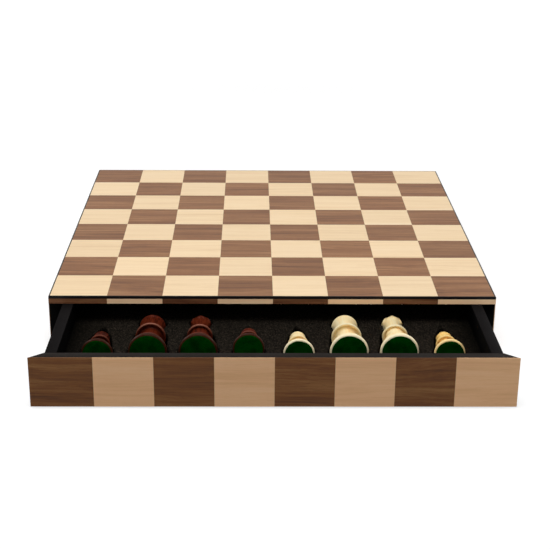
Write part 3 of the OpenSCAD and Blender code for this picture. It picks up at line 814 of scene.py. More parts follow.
@dataclass
class Chessman:
    """A chessman, turned on a lathe: a profile carried round an axis.

    A collar or head is given as (radius over the foot's radius, height over the whole height), and
    a bead on the collar as (radius over the collar's radius, thickness). Every other ratio is a
    share of the foot's radius.
    """

    foot: float  # radius of the foot
    tall: float  # whole height

    foot_ratio: ClassVar[float] = 0.3  # height of the foot's ring
    bulge_ratio: ClassVar[float] = 0.08  # how far the foot's ring bulges
    bell_ratio: ClassVar[float] = 0.78  # radius where the bell turns hollow
    stem_ratio: ClassVar[float] = 0.45  # radius of the stem
    stem_start: ClassVar[float] = 0.8  # height where it starts, of the collar's
    felt_ratio: ClassVar[float] = 0.91
    felt_thick: ClassVar[float] = 0.8 * MM
    collar_thick: ClassVar[float] = 2.4 * MM
    collar_dish: ClassVar[float] = 2 * MM  # depth of the collar's hollow face
    painted_highlight: ClassVar[float] = 0.35  # strength of the painted highlight on the collar's upper edge
    around: ClassVar[int] = 96
    collar: ClassVar[tuple[float, float]]
    head: ClassVar[tuple[float, float]]
    beads: ClassVar[tuple[tuple[float, float], ...]]
    neck: ClassVar[float] = 0.0  # ratio of a neck that the foam grips
    blunt: ClassVar[float] = 1.0  # how round the pocket's end is, of the head's radius
    pointed: ClassVar[bool] = False  # whether the pocket ends in a point

    def at(self, ratio: tuple[float, float]) -> tuple[float, float]:
        """Radius and height of a collar or head."""
        return ratio[0] * self.foot, ratio[1] * self.tall

    def head_reach(self) -> float:
        """How far the head reaches to the sides."""
        return self.at(self.head)[0]

    def bell_end(self) -> float:
        """Height where the bell over the foot turns hollow."""
        ring_top = self.foot_ratio * self.foot
        return ring_top + 0.4 * (self.stem_start * self.at(self.collar)[1] - ring_top)

    def base(self, stem: float) -> list[np.ndarray]:
        """The foot: a rounded ring, a bell, and a hollow sweep up to the stem.

        Args:
            stem: Radius of the stem.

        Returns:
            The stretches of its profile.
        """
        r = self.foot
        z = self.at(self.collar)[1]
        ring_top = self.foot_ratio * r
        bend = self.bell_end()
        top = self.stem_start * z
        bell = self.bell_ratio * r
        bulge = self.bulge_ratio * r
        neat = r - bulge
        return [
            arc(neat, ring_top / 2, bulge, ring_top / 2, -90, 82, 16),
            arc(2 * bell - neat, ring_top, 2 * (neat - bell), bend - ring_top, 2, 60, 14),
            arc(bell, top, bell - stem, top - bend, -90, -176, 20),
            np.array([[stem + 0.02 * r, z - self.collar_thick]]),
        ]

    def rim(self, stem: float) -> list[np.ndarray]:
        """The collar, whose face towards the foot is hollow between the stem and a lip.

        Args:
            stem: Radius of the stem.

        Returns:
            The stretches of its profile.
        """
        r, z = self.at(self.collar)
        low = z - self.collar_thick
        inner = stem + 0.03 * self.foot
        lip = 0.3 * self.collar_thick
        hollow = (r - 2 * lip - inner) / 2
        return [
            arc(inner + hollow, low, hollow, self.collar_dish, 180, 0, 12),
            arc(r - lip, low + lip, lip, lip, -120, 0, 12),
            arc(r - lip, low + self.collar_thick - lip, lip, lip, 0, 90, 6),
        ]

    def collar_highlight(self, points: np.ndarray) -> np.ndarray:
        """How strongly the collar's edge carries a painted highlight, strongest on top as the chessman lies,
        where the light falls.

        The share is the edge's cosine from upright, to a power, and nothing beside the edge.

        Args:
            points: Rows of x, y and z on the standing chessman.

        Returns:
            The share of each point.
        """
        r, z = self.at(self.collar)
        beside = np.hypot(points[:, 0], points[:, 1]) > r - 0.4 * self.collar_thick
        edge = beside & (np.abs(points[:, 2] - z + self.collar_thick / 2) < 0.6 * self.collar_thick)
        return self.painted_highlight * edge * np.clip(-points[:, 1] / r, 0, 1) ** 1.5

    def top(self, low: float) -> list[np.ndarray]:
        """What stands on the collar's beads.

        Args:
            low: Height where the beads end.

        Returns:
            The stretches of its profile.
        """
        raise NotImplementedError

    def profile(self) -> np.ndarray:
        """The outline from the base's middle to the top's.

        Returns:
            Rows of (radius, height).
        """
        stem = self.stem_ratio * self.foot
        radius, low = self.at(self.collar)
        parts = [*self.base(stem), *self.rim(stem)]
        for ratio, thick in self.beads:
            parts.append(ring(ratio * radius, low, thick))
            low += thick
        return np.vstack([*parts, *self.top(low)])

    def carve(self, rings: np.ndarray) -> np.ndarray:
        """Cuts what isn't turned into the rings. A plain chessman has nothing to cut.

        Args:
            rings: Points as (ring, place in the ring, xyz).

        Returns:
            The cut rings.
        """
        return rings

    def extras(self, shape: Shape) -> None:
        """Adds what is made apart, of which a plain chessman has nothing, to its shape."""

    def shape(self) -> Shape:
        """The standing chessman: its profile carried round the axis, carved, with its extras.

        Returns:
            Its shape, with the middle of its base at the origin.
        """
        shape = Shape()
        shape.add_tube(self.carve(revolve(self.profile(), round_angles(self.around))))
        self.extras(shape)
        return shape


class King(Chessman):
    """The king: a wide collar, a flared crown and a cross."""

    collar = (0.8, 0.5)
    head = (0.7, 0.82)
    beads = ((0.8, BEAD), (0.68, SMALL_BEAD))
    stem_ratio = 0.44
    cross_ratio = 0.12
    lip = 0.8 * MM
    neck = 0.54
    # The collar's edge carries the full painted highlight.
    painted_highlight = 1.0

    def top(self, low: float) -> list[np.ndarray]:
        """The crown's flare, its rim and a low dome."""
        crown, rim = self.at(self.head)
        top = self.tall * (1 - self.cross_ratio)
        return [
            arc(crown, low, crown - 0.5 * self.foot, rim - self.lip - low, 180, 100, 24),
            arc(crown - self.lip, rim, self.lip, self.lip, -30, 90, 8),
            arc(0, rim + self.lip, 0.84 * crown, top - rim - self.lip, 4, 84, 16),
        ]

    def extras(self, shape: Shape) -> None:
        """Adds the cross: an outline with four flared arms, carried through its thickness."""
        size = self.cross_ratio * self.tall
        middle = self.tall - size / 2
        arm = size * np.array([[0.14, 0.14], [0.46, 0.27], [0.5, 0.2], [0.5, -0.2], [0.46, -0.27]])
        turns = [math.radians(90 * quarter) for quarter in range(4)]
        spans = [arm @ np.array([[math.cos(t), -math.sin(t)], [math.sin(t), math.cos(t)]]) for t in turns]
        outline = np.vstack(spans)
        level = np.array([-1.0, -0.8, 0.8, 1.0])
        inset = np.array([0.9, 1.0, 1.0, 0.9])
        flat = outline[None] * inset[:, None, None]
        depth = np.repeat(0.17 * size * level[:, None], len(outline), axis=1)
        shape.add_tube(np.stack([flat[..., 0], depth, middle + flat[..., 1]], axis=-1))


class Queen(Chessman):
    """The queen: a narrower collar and a flared coronet with eight points."""

    collar = (0.68, 0.56)
    head = (0.575, 0.94)
    beads = ((0.74, BEAD), (0.58, SMALL_BEAD))
    stem_ratio = 0.46
    around = 160
    points = 8
    scallop = 2.5 * MM
    bead = 2 * MM
    cup = 1.2 * MM
    lip = 0.5 * MM
    neck = 0.42
    blunt = 0.5
    # The collar's edge carries the full painted highlight.
    painted_highlight = 1.0

    def top(self, low: float) -> list[np.ndarray]:
        """The coronet's flare, its cup, the dome and its bead."""
        crown, rim = self.at(self.head)
        lip = self.lip
        return [
            arc(crown + lip, low, crown + lip - 0.34 * self.foot, rim - lip - low, 180, 98, 34),
            arc(crown - lip, rim - lip, lip, lip, -20, 90, 6),
            arc(0.6 * crown, rim, 0.28 * crown, self.cup, 0, -88, 8),
            arc(0, rim - self.cup, 0.58 * crown, 0.34 * (self.tall - rim) + self.cup, 0, 62, 10),
            arc(0, self.tall - self.bead, self.bead, self.bead, -48, 86, 12),
        ]

    def carve(self, rings: np.ndarray) -> np.ndarray:
        """Scallops the rim: between two points the coronet's wall is drawn down."""
        crown, rim = self.at(self.head)
        radius = np.hypot(rings[..., 0], rings[..., 1])
        angle = np.arctan2(rings[..., 1], rings[..., 0])
        dip = np.sqrt(np.clip(1 - np.abs(np.cos(self.points / 2 * angle)) ** 1.4, 0, 1))
        near = np.clip(1 - (rim - rings[..., 2]) / (1.6 * self.scallop), 0, 1) ** 1.5
        wall = np.clip((radius / crown - 0.64) / 0.16, 0, 1)
        rings[..., 2] -= self.scallop * dip * near * wall
        return rings


class Bishop(Chessman):
    """The bishop: a mitre with a slanting slot and a bead on top."""

    collar = (0.64, 0.58)
    head = (0.47, 0.74)
    beads = ((0.78, BEAD), (0.6, SMALL_BEAD))
    around = 128
    bead = 2 * MM
    slot_depth = 1.9 * MM
    slot_half = 0.6 * MM

    def top(self, low: float) -> list[np.ndarray]:
        """The mitre and its bead."""
        mitre, middle = self.at(self.head)
        tip = self.tall - 1.5 * self.bead
        return [
            arc(0, middle, mitre, middle - low, -62, 0, 16),
            arc(0, middle, mitre, tip - middle, 3, 76, 44),
            arc(0, self.tall - self.bead, self.bead, self.bead, -55, 86, 12),
        ]

    def carve(self, rings: np.ndarray) -> np.ndarray:
        """Cuts the slot: points near a slanting plane on the +X side are drawn inwards."""
        mitre, middle = self.at(self.head)
        slant = math.radians(35)
        away = (rings[..., 2] - middle - 0.45 * mitre) * math.cos(slant) - rings[..., 0] * math.sin(slant)
        groove = np.exp(-((away / self.slot_half) ** 4)) * np.clip(rings[..., 0] / (0.25 * mitre), 0, 1)
        above = np.clip((rings[..., 2] - middle) / MM, 0, 1)
        radius = np.hypot(rings[..., 0], rings[..., 1])
        share = np.clip(1 - self.slot_depth * groove * above / np.maximum(radius, MM), 0.2, 1)
        rings[..., :2] *= share[..., None]
        return rings


class Rook(Chessman):
    """The rook: a tower with a hollow top and six battlements."""

    collar = (0.68, 0.56)
    head = (0.72, 0.97)
    beads = ((0.84, BEAD),)
    stem_ratio = 0.52
    around = 180
    blunt = 0.2
    well_ratio = 0.12
    battlements = 6
    gap = 2.6 * MM
    lip = 0.6 * MM

    def top(self, low: float) -> list[np.ndarray]:
        """The tower, its flared top, the rim and the well."""
        tower = self.head[0] * self.foot
        r = self.foot
        h = self.tall
        wall = 0.26 * tower
        well = self.well_ratio * h
        low += self.lip
        return [
            arc(0.62 * r, low, 0.04 * r, 0.74 * h - low, 180, 100, 8),
            arc(tower, 0.74 * h, tower - 0.61 * r, 0.06 * h, 170, 92, 8),
            np.column_stack([np.full(6, tower), np.linspace(0.81 * h, 0.97 * h, 6)]),
            arc(tower - self.lip, h - self.lip, self.lip, self.lip, 10, 90, 4),
            np.column_stack([np.full(8, tower - wall), np.linspace(h, h - well, 8)]),
            np.array([[0.5 * tower, h - well], [0.1 * tower, h - well]]),
        ]

    def carve(self, rings: np.ndarray) -> np.ndarray:
        """Cuts the gaps: where the rim crosses one of three bars, it is lowered to the well."""
        low = self.tall * (1 - self.well_ratio)
        angle = np.arctan2(rings[..., 1], rings[..., 0])
        radius = np.hypot(rings[..., 0], rings[..., 1])
        step = 2 * math.pi / self.battlements
        aside = np.abs((angle + step / 2) % step - step / 2) * radius
        cut = np.clip((self.gap / 2 - aside) / (0.15 * MM) + 0.5, 0, 1)
        above = np.maximum(rings[..., 2] - low, 0)
        rings[..., 2] -= above * cut
        return rings


class Pawn(Chessman):
    """The pawn: a collar under a ball."""

    collar = (0.66, 0.57)
    head = (0.53, 0.82)
    beads = ((0.74, SMALL_BEAD),)
    stem_ratio = 0.41
    bell_ratio = 0.68
    collar_thick = 2.2 * MM
    collar_dish = 1.4 * MM
    pointed = True

    def top(self, low: float) -> list[np.ndarray]:
        """The ball, which is sunk into the bead."""
        ball = self.head[0] * self.foot
        return [arc(0, self.tall - ball, ball, ball, -55, 87, 34)]


class Knight(Chessman):
    """The knight: a turned foot and a carved horse's head, its nose towards +X."""

    collar = (0.72, 0.3)
    head = (0.4, 0.9)
    beads = ()
    stem_ratio = 0.6

    # The lower and upper outline and half the width, for a head that is 1 high, from neck to muzzle.
    under = (
        (0.27, 0.0), (0.22, 0.12), (0.14, 0.26), (0.13, 0.36),
        (0.2, 0.4), (0.28, 0.37), (0.37, 0.36), (0.42, 0.4),
    )
    upper = (
        (-0.27, 0.0), (-0.35, 0.22), (-0.36, 0.5), (-0.25, 0.78),
        (-0.02, 0.9), (0.16, 0.8), (0.3, 0.62), (0.41, 0.49),
    )
    thick = (0.17, 0.165, 0.16, 0.155, 0.15, 0.14, 0.115, 0.085)
    locks = 7
    nose = 0.43  # how far the muzzle reaches forward
    mane_end = 0.6  # where the mane ends, of the way from the chest to the muzzle
    oval = 0.86  # power that draws the head's ovals out: 1 is an ellipse, and less is squarer
    sunk = 0.3 * MM  # how deep the head stands in the collar
    along_steps = 110
    head_around = 72

    # Eye, nostril, cheek and the hollow before it, as (x, z, radius, how far it swells).
    features = (
        (0.13, 0.72, 0.035, 0.22), (0.37, 0.46, 0.022, -0.35),
        (0.1, 0.52, 0.09, 0.12), (0.22, 0.56, 0.05, -0.1),
    )

    def head_reach(self) -> float:
        """How far the nose reaches to the side."""
        return self.nose * (self.tall - self.at(self.collar)[1])

    def top(self, low: float) -> list[np.ndarray]:
        """The flat of the collar, on which the head stands."""
        return [np.array([[0.1 * self.at(self.collar)[0], low]])]

    @staticmethod
    def smooth(values: np.ndarray, steps: int) -> np.ndarray:
        """A Catmull-Rom curve: between two rows, a cubic whose slopes follow the rows beside them.

        Args:
            values: The rows that it passes through.
            steps: Number of steps from the first to the last.

        Returns:
            The rows of the curve, one more than its steps.
        """
        padded = np.vstack([2 * values[0] - values[1], values, 2 * values[-1] - values[-2]])
        place = np.linspace(0, len(values) - 1, steps + 1)
        start = np.minimum(place.astype(int), len(values) - 2)
        t = (place - start)[:, None]
        a, b, c, d = (padded[start + i] for i in range(4))
        square, cube = 2 * a - 5 * b + 4 * c - d, 3 * b - a - 3 * c + d
        return 0.5 * (2 * b + (c - a) * t + square * t**2 + cube * t**3)

    def extras(self, shape: Shape) -> None:
        """Adds the head and two ears.

        A ring of the head is an oval across the chord from its lower to its upper outline, so the
        rings turn with the neck. Sines along the mane cut its locks, and round dents and swellings
        of the oval's width make the eye, nostril, mouth and cheek.
        """
        bottom = self.at(self.collar)[1] - self.sunk
        size = self.tall - bottom
        steps = self.along_steps
        under = self.smooth(np.array(self.under), steps)
        upper = self.smooth(np.array(self.upper), steps)
        thick = self.smooth(np.array(self.thick)[:, None], steps)[:, 0]
        along = np.linspace(0, 1, steps + 1)
        end = np.sqrt(np.clip(1 - ((along - 0.95) / 0.05).clip(0, 1) ** 2, 0.02, 1))
        angle = round_angles(self.head_around)
        waves = (np.cos(angle), np.sin(angle))
        swing, side = (np.sign(wave) * np.abs(wave) ** self.oval for wave in waves)
        middle = (under + upper) / 2
        chord = (upper - under) / 2 * end[:, None]
        on_neck = np.clip((self.mane_end - along) / 0.08, 0, 1)[:, None]
        mane = np.clip((swing - 0.45) / 0.3, 0, 1)[None] * on_neck
        lock = np.cos(2 * math.pi * self.locks * (along[:, None] / self.mane_end + 0.12 * swing[None]))
        reach = 1 + mane * (0.03 + 0.05 * lock)
        flat = middle[:, None] + chord[:, None] * (swing[None] * reach)[..., None]
        width = thick[:, None] * end[:, None] * side[None] * (1 + 0.16 * mane * lock)
        for x, z, radius, swell in self.features:
            away = (flat[..., 0] - x) ** 2 + (flat[..., 1] - z) ** 2
            width *= 1 + swell * np.exp(-away / radius**2)
        lips = np.abs(flat[..., 1] - 0.425 - 0.15 * (flat[..., 0] - 0.4))
        width *= 1 - 0.22 * np.exp(-((lips / 0.012) ** 2)) * np.clip((flat[..., 0] - 0.28) / 0.05, 0, 1)
        width *= 1 - 0.12 * np.exp(-(((swing[None] - 0.42) / 0.06) ** 2)) * on_neck
        rings = np.stack([flat[..., 0], -width, flat[..., 1]], axis=-1) * size
        rings[..., 2] += bottom
        shape.add_tube(rings)
        for across in (-0.075, 0.075):
            shape.add_tube(*self.ear(np.array([-0.02, across, 0.87]) * size + [0, 0, bottom], size))

    @staticmethod
    def ear(root: np.ndarray, size: float) -> tuple[np.ndarray, np.ndarray, np.ndarray]:
        """An ear: a leaf that swells and then narrows to its tip.

        Args:
            root: The middle of its lower end.
            size: Height of the head.

        Returns:
            Its rings, its lower end and its tip.
        """
        up = np.linspace(0, 1, 12)
        angle = round_angles(20)
        radius = 0.045 * size * np.sqrt(np.clip(1 - up**1.6, 0.01, 1))
        x = radius[:, None] * np.cos(angle) * 0.8 + 0.02 * size * up[:, None]
        y = radius[:, None] * np.sin(angle) * 0.7
        z = np.repeat(0.125 * size * up[:, None], len(angle), axis=1)
        rings = np.stack([x, y, z], axis=-1) + root
        return rings, root, root + np.array([0.02, 0, 0.127]) * size


class Kind(Enum):
    """The kinds of chessmen, as (class, ending of the CAD node's name)."""

    KING = (King, "king")
    QUEEN = (Queen, "queen")
    BISHOP = (Bishop, "bishops")
    KNIGHT = (Knight, "knights")
    ROOK = (Rook, "rooks")
    PAWN = (Pawn, "pawns")


@dataclass
class ChessArmy:
    """The sixteen chessmen of one colour and their felts, where the CAD's felts lie."""

    colour: str  # dark or light, as in the CAD nodes' names
    finish: TurnedFinish
    odd_finish: TurnedFinish | None = None  # the last pawn's, if it was turned from another wood
    between: float = 8 * MM  # wider than any gap in a felt, and narrower than one between two
    felt_uneven: float = 0.006  # how far the felts' cut edges stray, of their radius
    felt_waves: int = 5  # how often they do so once round
    felt_shift: float = 400.0  # radians per metre by which the waves of two felts differ

    # The two kinds that lie between a row's pawns.
    inner: ClassVar[tuple[tuple[Kind, Kind], ...]] = (
        (Kind.KING, Kind.QUEEN), (Kind.BISHOP, Kind.BISHOP),
        (Kind.KNIGHT, Kind.KNIGHT), (Kind.ROOK, Kind.ROOK),
    )

    def build(self) -> list[tuple[Place, Chessman]]:
        """Builds every chessman and its felt.

        Returns:
            The place and shape of each chessman, for its pocket in the foam.
        """
        wood = self.finish.material()
        odd_wood = self.odd_finish.material() if self.odd_finish else wood
        felt = PIECE_FELT.material()
        counts = dict.fromkeys(Kind, 0)
        laid = []
        for kind, place, odd in self.read_places():
            counts[kind] += 1
            name = f"{self.colour}_{kind.name.lower()}_{counts[kind]}"
            man = kind.value[0](place.foot, self.read_height(kind, place))
            self.build_one(name, kind, man, place, odd_wood if odd else wood)
            self.build_felt(name, place, felt)
            laid.append((place, man))
        return laid

    def read_places(self) -> list[tuple[Kind, Place, bool]]:
        """Reads from the felts where the chessmen lie, row by row and from left to right.

        Returns:
            Each one's kind and place, and whether it is the odd pawn.
        """
        points = node_points(f"{self.colour}_piece_felts")
        columns = clusters(points[:, 0], self.between)
        rows = clusters(points[:, 1], self.between)
        ends = [front for front, _ in rows[1:]] + [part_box("foam_insert")[1][1]]
        places = []
        for row, (front, back) in enumerate(rows):
            for column, (left, right) in enumerate(columns):
                inside = (points[:, 0] >= left) & (points[:, 0] <= right)
                inside &= (points[:, 1] >= front) & (points[:, 1] <= back)
                kind = self.inner[row][column - 1] if column in (1, 2) else Kind.PAWN
                odd = row == 0 and column == len(columns) - 1
                places.append((kind, self.read_place(points[inside], ends[row]), odd))
        return places

    def read_place(self, points: np.ndarray, row_end: float) -> Place:
        """Reads a chessman's place from its felt, a disc that leans as the chessman lies.

        Args:
            points: The corners of the felt's CAD mesh.
            row_end: Where the pockets of its row have to end.

        Returns:
            The place.
        """
        low, high = points.min(axis=0), points.max(axis=0)
        radius = (high[0] - low[0]) / 2
        lie = math.asin((high[1] - low[1] - Chessman.felt_thick) / (2 * radius))
        middle = (low + high) / 2
        forward = np.array([0, math.cos(lie), -math.sin(lie)])
        base = middle + forward * Chessman.felt_thick / 2
        return Place(radius / Chessman.felt_ratio, tuple(base), lie, row_end)

    def read_height(self, kind: Kind, place: Place) -> float:
        """Reads a chessman's height from its own solid, whose back is its top.

        Args:
            kind: The chessman's kind.
            place: Where it lies.

        Returns:
            Its height when it stands.
        """
        points = node_points(f"{self.colour}_{kind.value[1]}")
        own = (np.abs(points[:, 0] - place.base[0]) < place.foot) & (points[:, 1] < place.row_end)
        back = points[own, 1].max()
        return (back - place.base[1]) / math.cos(place.lie)

    def build_one(self, name: str, kind: Kind, man: Chessman, place: Place, wood: Material) -> None:
        """Builds one chessman, lays it down and lets it stand for its CAD node.

        Args:
            name: Name of the piece.
            kind: The chessman's kind.
            man: Its shape.
            place: Where it lies.
            wood: Its wood.
        """
        shape = man.shape()
        standing = np.vstack(shape.points)
        shape.move(place.turn(), np.array(place.base))
        piece = shape.object(name, wood)
        # The second mark is the collar's painted highlight.
        marks = {"axis_height": standing[:, 2] / MM, "collar_highlight": man.collar_highlight(standing)}
        for mark, values in marks.items():
            made = piece.data.attributes.new(mark, "FLOAT", "POINT")
            made.data.foreach_set("value", values.astype(np.float32))
        attach(piece, "drawer", f"{self.colour}_chessmen", f"{self.colour}_{kind.value[1]}")

    def build_felt(self, name: str, place: Place, felt: Material) -> None:
        """Builds one felt: a disc with a rounded, slightly uneven edge.

        Args:
            name: Name of its chessman's piece.
            place: Where the chessman lies.
            felt: The material.
        """
        radius = Chessman.felt_ratio * place.foot
        thick = Chessman.felt_thick
        soft = 0.4 * thick
        outline = np.vstack([
            [[0.3 * radius, -thick], [0.7 * radius, -thick]],
            arc(radius - soft, -thick / 2, soft, thick / 2, -90, 90, 8),
            [[0.7 * radius, 0], [0.3 * radius, 0]],
        ])
        angle = round_angles(72)
        edge = (outline[:, 0] > 0.9 * radius)[:, None]
        wave = np.sin(self.felt_waves * angle + place.base[0] * self.felt_shift)
        uneven = 1 - self.felt_uneven * (1 + wave) * edge
        shape = Shape()
        shape.add_tube(revolve(outline, angle, uneven))
        shape.move(place.turn(), np.array(place.base))
        piece = shape.object(f"{name}_felt", felt, crease=60)
        attach(piece, "drawer", "piece_felt", f"{self.colour}_piece_felts")


# ---- Drawer ---------------------------------------------------------------------------------


@dataclass
class FoamInsert:
    """The foam: a grid of heights, lowered where a chessman's pocket lies."""

    laid: list[tuple[Place, Chessman]]
    step: float = 1.0 * MM  # between the grid's lines
    room: float = 1.2 * MM  # round a chessman in its pocket
    seat: float = 0.2 * MM  # gap under it
    point: float = 16 * MM  # length of a pocket's pointed end, where its row leaves room for it
    point_wall: float = 3 * MM  # foam between that point and what is behind it
    point_steep: float = 2.5  # how much steeper the point's walls fall than others
    tight: float = 1.0 * MM  # room round the neck under a crown
    grip: float = 5 * MM  # length over which the pocket narrows to that neck
    wall: float = 1.1 * MM  # width over which a pocket's wall falls
    wall_out: float = 0.4  # share of that width that lies outside the pocket's edge
    grit: float = 0.16 * MM  # height of the skin's roughness
    reach_aside: float = 1.6  # how far a pocket's walls can reach aside, in radii of the foot
    reach_front: float = 0.5  # how far in front of the base

    def build(self) -> None:
        """Builds the foam and lets it stand for its CAD block."""
        low, high = (np.array(corner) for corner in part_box("foam_insert"))
        x = np.linspace(low[0], high[0], int((high[0] - low[0]) / self.step) + 1)
        y = np.linspace(low[1], high[1], int((high[1] - low[1]) / self.step) + 1)
        across, along = np.meshgrid(x, y)
        height = np.full(across.shape, high[2])
        for place, man in self.laid:
            near_x = np.abs(x - place.base[0]) < self.reach_aside * place.foot
            near_y = (y > place.base[1] - self.reach_front * place.foot) & (y < place.row_end)
            spot = np.ix_(near_y, near_x)
            aside, ahead = across[spot] - place.base[0], along[spot] - place.base[1]
            height[spot] = np.minimum(height[spot], self.pocket(aside, ahead, place, man, high[2]))
        random = np.random.default_rng(11)
        height -= self.grit * random.random(height.shape)
        self.close(across, along, height, low[2])

    def pocket(
        self, aside: np.ndarray, ahead: np.ndarray, place: Place, man: Chessman, top: float
    ) -> np.ndarray:
        """The foam's height in and round a pocket.

        The pocket is a well for the foot and its bell, and a shelf for collar and head, which a neck
        may narrow and a point may end. Each is a distance to its nearest edge, positive inside. A
        smooth step of that distance over the wall's width leads from the foam's surface down to
        the floor.

        Args:
            aside: Distance from the chessman's axis, to the right.
            ahead: Distance from the middle of its base, to the back.
            place: Where the chessman lies.
            man: Its shape.
            top: The foam's surface.

        Returns:
            The heights.
        """
        r = place.foot
        sine, cosine = math.sin(place.lie), math.cos(place.lie)
        collar, collar_at = man.at(man.collar)
        head, head_at = man.at(man.head)
        touch = man.foot_ratio * r / 2
        wide = man.head_reach()
        play = man.felt_thick + r * sine + self.room
        from_front = ahead + play - self.room
        aside = np.abs(aside)
        full = r + self.room
        bell = man.bell_ratio * r + 2 * self.room
        ring_end = man.foot_ratio * r + play
        well_end = man.bell_end() + play
        end = man.tall + play
        waist = max(collar, wide) + self.room
        tip = wide + self.room
        bend = min(man.blunt * wide + self.room, tip)
        beside = np.interp(from_front, [0, ring_end, well_end], [full, full, bell]) - aside
        well = np.minimum(beside, np.minimum(from_front + self.room, well_end - from_front))
        places = [0, ring_end, well_end, collar_at + play, end - bend]
        widths = [full, full, max(bell, waist), waist, tip]
        if man.neck:
            neck = man.neck * r + self.tight
            flare = head_at + play
            places[4:] = [collar_at + play + self.grip, flare - 2 * self.grip, flare, end - bend]
            widths[4:] = [neck, neck, tip, tip]
        beside = np.interp(from_front, places, widths) - aside
        corner = np.hypot(np.maximum(aside - tip + bend, 0), np.maximum(from_front - end + bend, 0))
        shelf = np.where(from_front > end - bend, bend - corner, np.minimum(beside, from_front + self.room))
        if man.pointed:
            room_left = place.row_end - self.room - place.base[1] - man.tall
            point = min(self.point, room_left - self.point_wall - self.room)
            taper = self.point_steep * (tip * (end + point - from_front) / (bend + point) - aside)
            shelf = np.where(from_front > end - bend, np.maximum(shelf, taper), shelf)
        floor = place.base[2] - r * cosine - touch * sine - self.seat
        rims = ((collar, collar_at), (head, head_at))
        lift = min(r - (at - touch) * sine - radius * cosine for radius, at in rims)
        levels = ((floor, well), (floor + lift, shelf))
        return np.minimum(*(top - (top - low) * self.fall(inside) for low, inside in levels))

    def fall(self, inside: np.ndarray) -> np.ndarray:
        """How far a wall has fallen, from 0 to 1, at a distance inside its edge."""
        share = np.clip((inside + self.wall_out * self.wall) / self.wall, 0, 1)
        return share * share * (3 - 2 * share)

    def close(self, across: np.ndarray, along: np.ndarray, height: np.ndarray, bottom: float) -> None:
        """Closes the grid with straight sides and an underside, and makes the object.

        Args:
            across: The grid's x.
            along: Its y.
            height: Its z, the foam's upper face.
            bottom: Height of the underside.
        """
        rows, columns = height.shape
        top = np.dstack([across, along, height]).reshape(-1, 3)
        numbers = np.arange(rows * columns).reshape(rows, columns)
        edge = np.concatenate([numbers[0, :-1], numbers[:-1, -1], numbers[-1, :0:-1], numbers[:0:-1, 0]])
        skirt = top[edge].copy()
        skirt[:, 2] = bottom
        lower = rows * columns + np.arange(len(edge))
        sides = np.array([edge, lower])
        centre = np.array([across.mean(), along.mean(), bottom])
        middle = np.full(len(edge), rows * columns + len(edge))
        floor = np.column_stack([np.roll(lower, -1), lower, middle])
        faces = quads(numbers[:, :-1], numbers[:, 1:]) + quads(np.roll(sides, -1, axis=1), sides)
        shape = Shape()
        shape.add(np.vstack([top, skirt, centre]), faces + floor.tolist())
        piece = shape.object("foam_with_pockets", FOAM_GREY.material(), crease=80)
        attach(piece, "drawer", "foam", "foam_insert")


@dataclass
class Drawer:
    """The drawer: veneered front, painted sides, back and bottom."""

    panels: Panels = field(default_factory=Panels)
    painted: tuple[str, ...] = ("drawer_left_side", "drawer_right_side", "drawer_back", "drawer_bottom")

    def build(self) -> None:
        """Builds the panels and dresses the front's veneers."""
        self.panels.build("drawer_front", "drawer", "drawer_paint", FRONT_BLACK.material())
        paint = DRAWER_BLACK.material()
        for node in self.painted:
            self.panels.build(node, "drawer", "drawer_paint", paint)
        dress("front_light_veneers", SHADED_EDGE_MAPLE.material(Grain.ALONG_X))
        dress("front_dark_veneers", SHADED_EDGE_WALNUT.material(Grain.ALONG_X))


# ---- Studio ---------------------------------------------------------------------------------


@dataclass(frozen=True)
class Lamp:
    """A rectangular lamp that faces the object."""

    name: str
    place: tuple[float, float, float]
    size: tuple[float, float]
    power: float  # in watts

    target: ClassVar[tuple[float, float, float]] = (0, -0.05, 0.03)

    def build(self) -> None:
        """Builds the lamp and turns it to its target."""
        data = bpy.data.lights.new(self.name, "AREA")
        data.shape = "RECTANGLE"
        data.size, data.size_y = self.size
        data.energy = self.power
        aim = (Vector(self.target) - Vector(self.place)).to_track_quat("-Z", "Y")
        new_object(self.name, data).matrix_world = Matrix.Translation(self.place) @ aim.to_matrix().to_4x4()


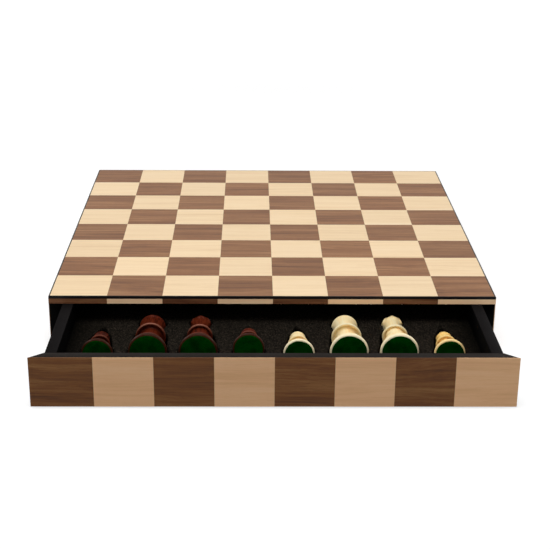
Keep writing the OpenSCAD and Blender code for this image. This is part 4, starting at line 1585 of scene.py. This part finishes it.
@dataclass
class Studio:
    """Camera, lamps, world and floor."""

    eye: tuple[float, float, float] = (-0.0191, -1.2556, 0.4813)
    tilt: float = 21.09  # how far the camera looks down, in degrees
    pan: float = -1.13  # how far it is turned to the left
    roll: float = -0.54  # how far it leans
    lens: float = 82.26  # focal length, in millimetres like the sensor's width
    sensor: float = 36.0
    far: float = 50.0  # as far as the camera sees
    lamps: tuple[Lamp, ...] = (
        Lamp("overhead", (-0.1, -0.65, 1.65), (1.0, 0.9), 21.0),
        Lamp("left_rear", (-1.5, 1.1, 0.9), (0.8, 0.8), 11.0),
        Lamp("right_rear", (1.5, 1.1, 0.9), (0.8, 0.8), 11.0),
    )
    floor_half: float = 6.0
    floor_drop: float = 0.3 * MM
    floor_grey: float = 0.35  # share of the light that the floor throws back
    # Distances from the object between which the floor's own light rises, and its strength at both.
    floor_glow: tuple[float, float, float, float] = (900.0, 2000.0, 0.72, 1.0)

    white: ClassVar[tuple[float, float, float, float]] = (1.0, 1.0, 1.0, 1.0)

    def build(self) -> None:
        """Builds everything round the object."""
        bpy.context.scene.view_settings.view_transform = "Standard"
        self.build_camera()
        self.build_world()
        self.build_floor()
        for lamp in self.lamps:
            lamp.build()

    def build_camera(self) -> None:
        """Builds the camera from its tilt, pan and roll."""
        data = bpy.data.cameras.new("camera")
        data.sensor_width = self.sensor
        data.lens = self.lens
        data.clip_end = self.far
        camera = new_object("camera", data)
        upright = Matrix.Rotation(math.radians(90 - self.tilt), 4, "X")
        panned = Matrix.Rotation(math.radians(self.pan), 4, "Z")
        rolled = Matrix.Rotation(math.radians(-self.roll), 4, "Z")
        camera.matrix_world = Matrix.Translation(self.eye) @ panned @ upright @ rolled
        bpy.context.scene.camera = camera

    def build_world(self) -> None:
        """Builds a world that is white to the camera and in reflections, and lights softly.

        On matt surfaces its light comes from near the horizon, and a little from straight above.
        """
        world = bpy.data.worlds.new("studio")
        bpy.context.scene.world = world
        world.use_nodes = True
        g = Graph(world.node_tree)
        upward = g.part(g.node("TexCoord", {}).outputs["Generated"], "Z")
        horizon = g.spread(upward, 0.06, 0.34, 1.0, 0.0)
        strength = g.sum("ADD", horizon, g.spread(upward, 0.5, 0.95, 0.05, 0.3))
        light = g.node("Background", {"Color": self.white, "Strength": strength})
        white = g.node("Background", {"Color": self.white, "Strength": 1.0})
        mixed = g.node("MixShader", {0: self.seen(g), 1: light.outputs[0], 2: white.outputs[0]})
        g.node("OutputWorld", {"Surface": mixed.outputs[0]})

    @staticmethod
    def seen(g: Graph) -> Socket:
        """Tells the rays that show a thing from those that light one.

        Args:
            g: The graph of a world or material.

        Returns:
            1 for rays from the camera, off a gloss or through glass, and otherwise 0.
        """
        rays = g.node("LightPath", {})
        direct = g.sum("MAXIMUM", rays.outputs["Is Camera Ray"], rays.outputs["Is Glossy Ray"])
        return g.sum("MAXIMUM", direct, rays.outputs["Is Transmission Ray"])

    def build_floor(self) -> None:
        """Builds a floor that looks white, keeps a soft shadow and throws little light back."""
        edge = self.floor_half
        corners = [(-edge, -edge), (edge, -edge), (edge, edge), (-edge, edge)]
        mesh = bpy.data.meshes.new("floor")
        mesh.from_pydata([(x, y, -self.floor_drop) for x, y in corners], [], [(0, 1, 2, 3)])
        material, g = new_material("floor_white")
        grey = g.node("BsdfDiffuse", {"Color": (self.floor_grey, self.floor_grey, self.floor_grey, 1)})
        away = g.node("VectorMath", {0: g.place()}, operation="LENGTH").outputs["Value"]
        glow = g.node("Emission", {"Color": self.white, "Strength": g.spread(away, *self.floor_glow)})
        shining = g.node("AddShader", {0: grey.outputs[0], 1: glow.outputs[0]})
        mixed = g.node("MixShader", {0: self.seen(g), 1: grey.outputs[0], 2: shining.outputs[0]})
        g.node("OutputMaterial", {"Surface": mixed.outputs[0]})
        mesh.materials.append(material)
        new_object("floor", mesh)


def main() -> None:
    """Builds the studio and the object."""
    logging.basicConfig(level=logging.INFO, format="%(message)s")
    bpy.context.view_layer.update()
    Studio().build()
    Board().build()
    Case().build()
    Drawer().build()
    dark = ChessArmy("dark", DARK_WOOD).build()
    light = ChessArmy("light", LIGHT_WOOD, AMBER_WOOD).build()
    FoamInsert(dark + light).build()


if __name__ == "__main__":
    main()
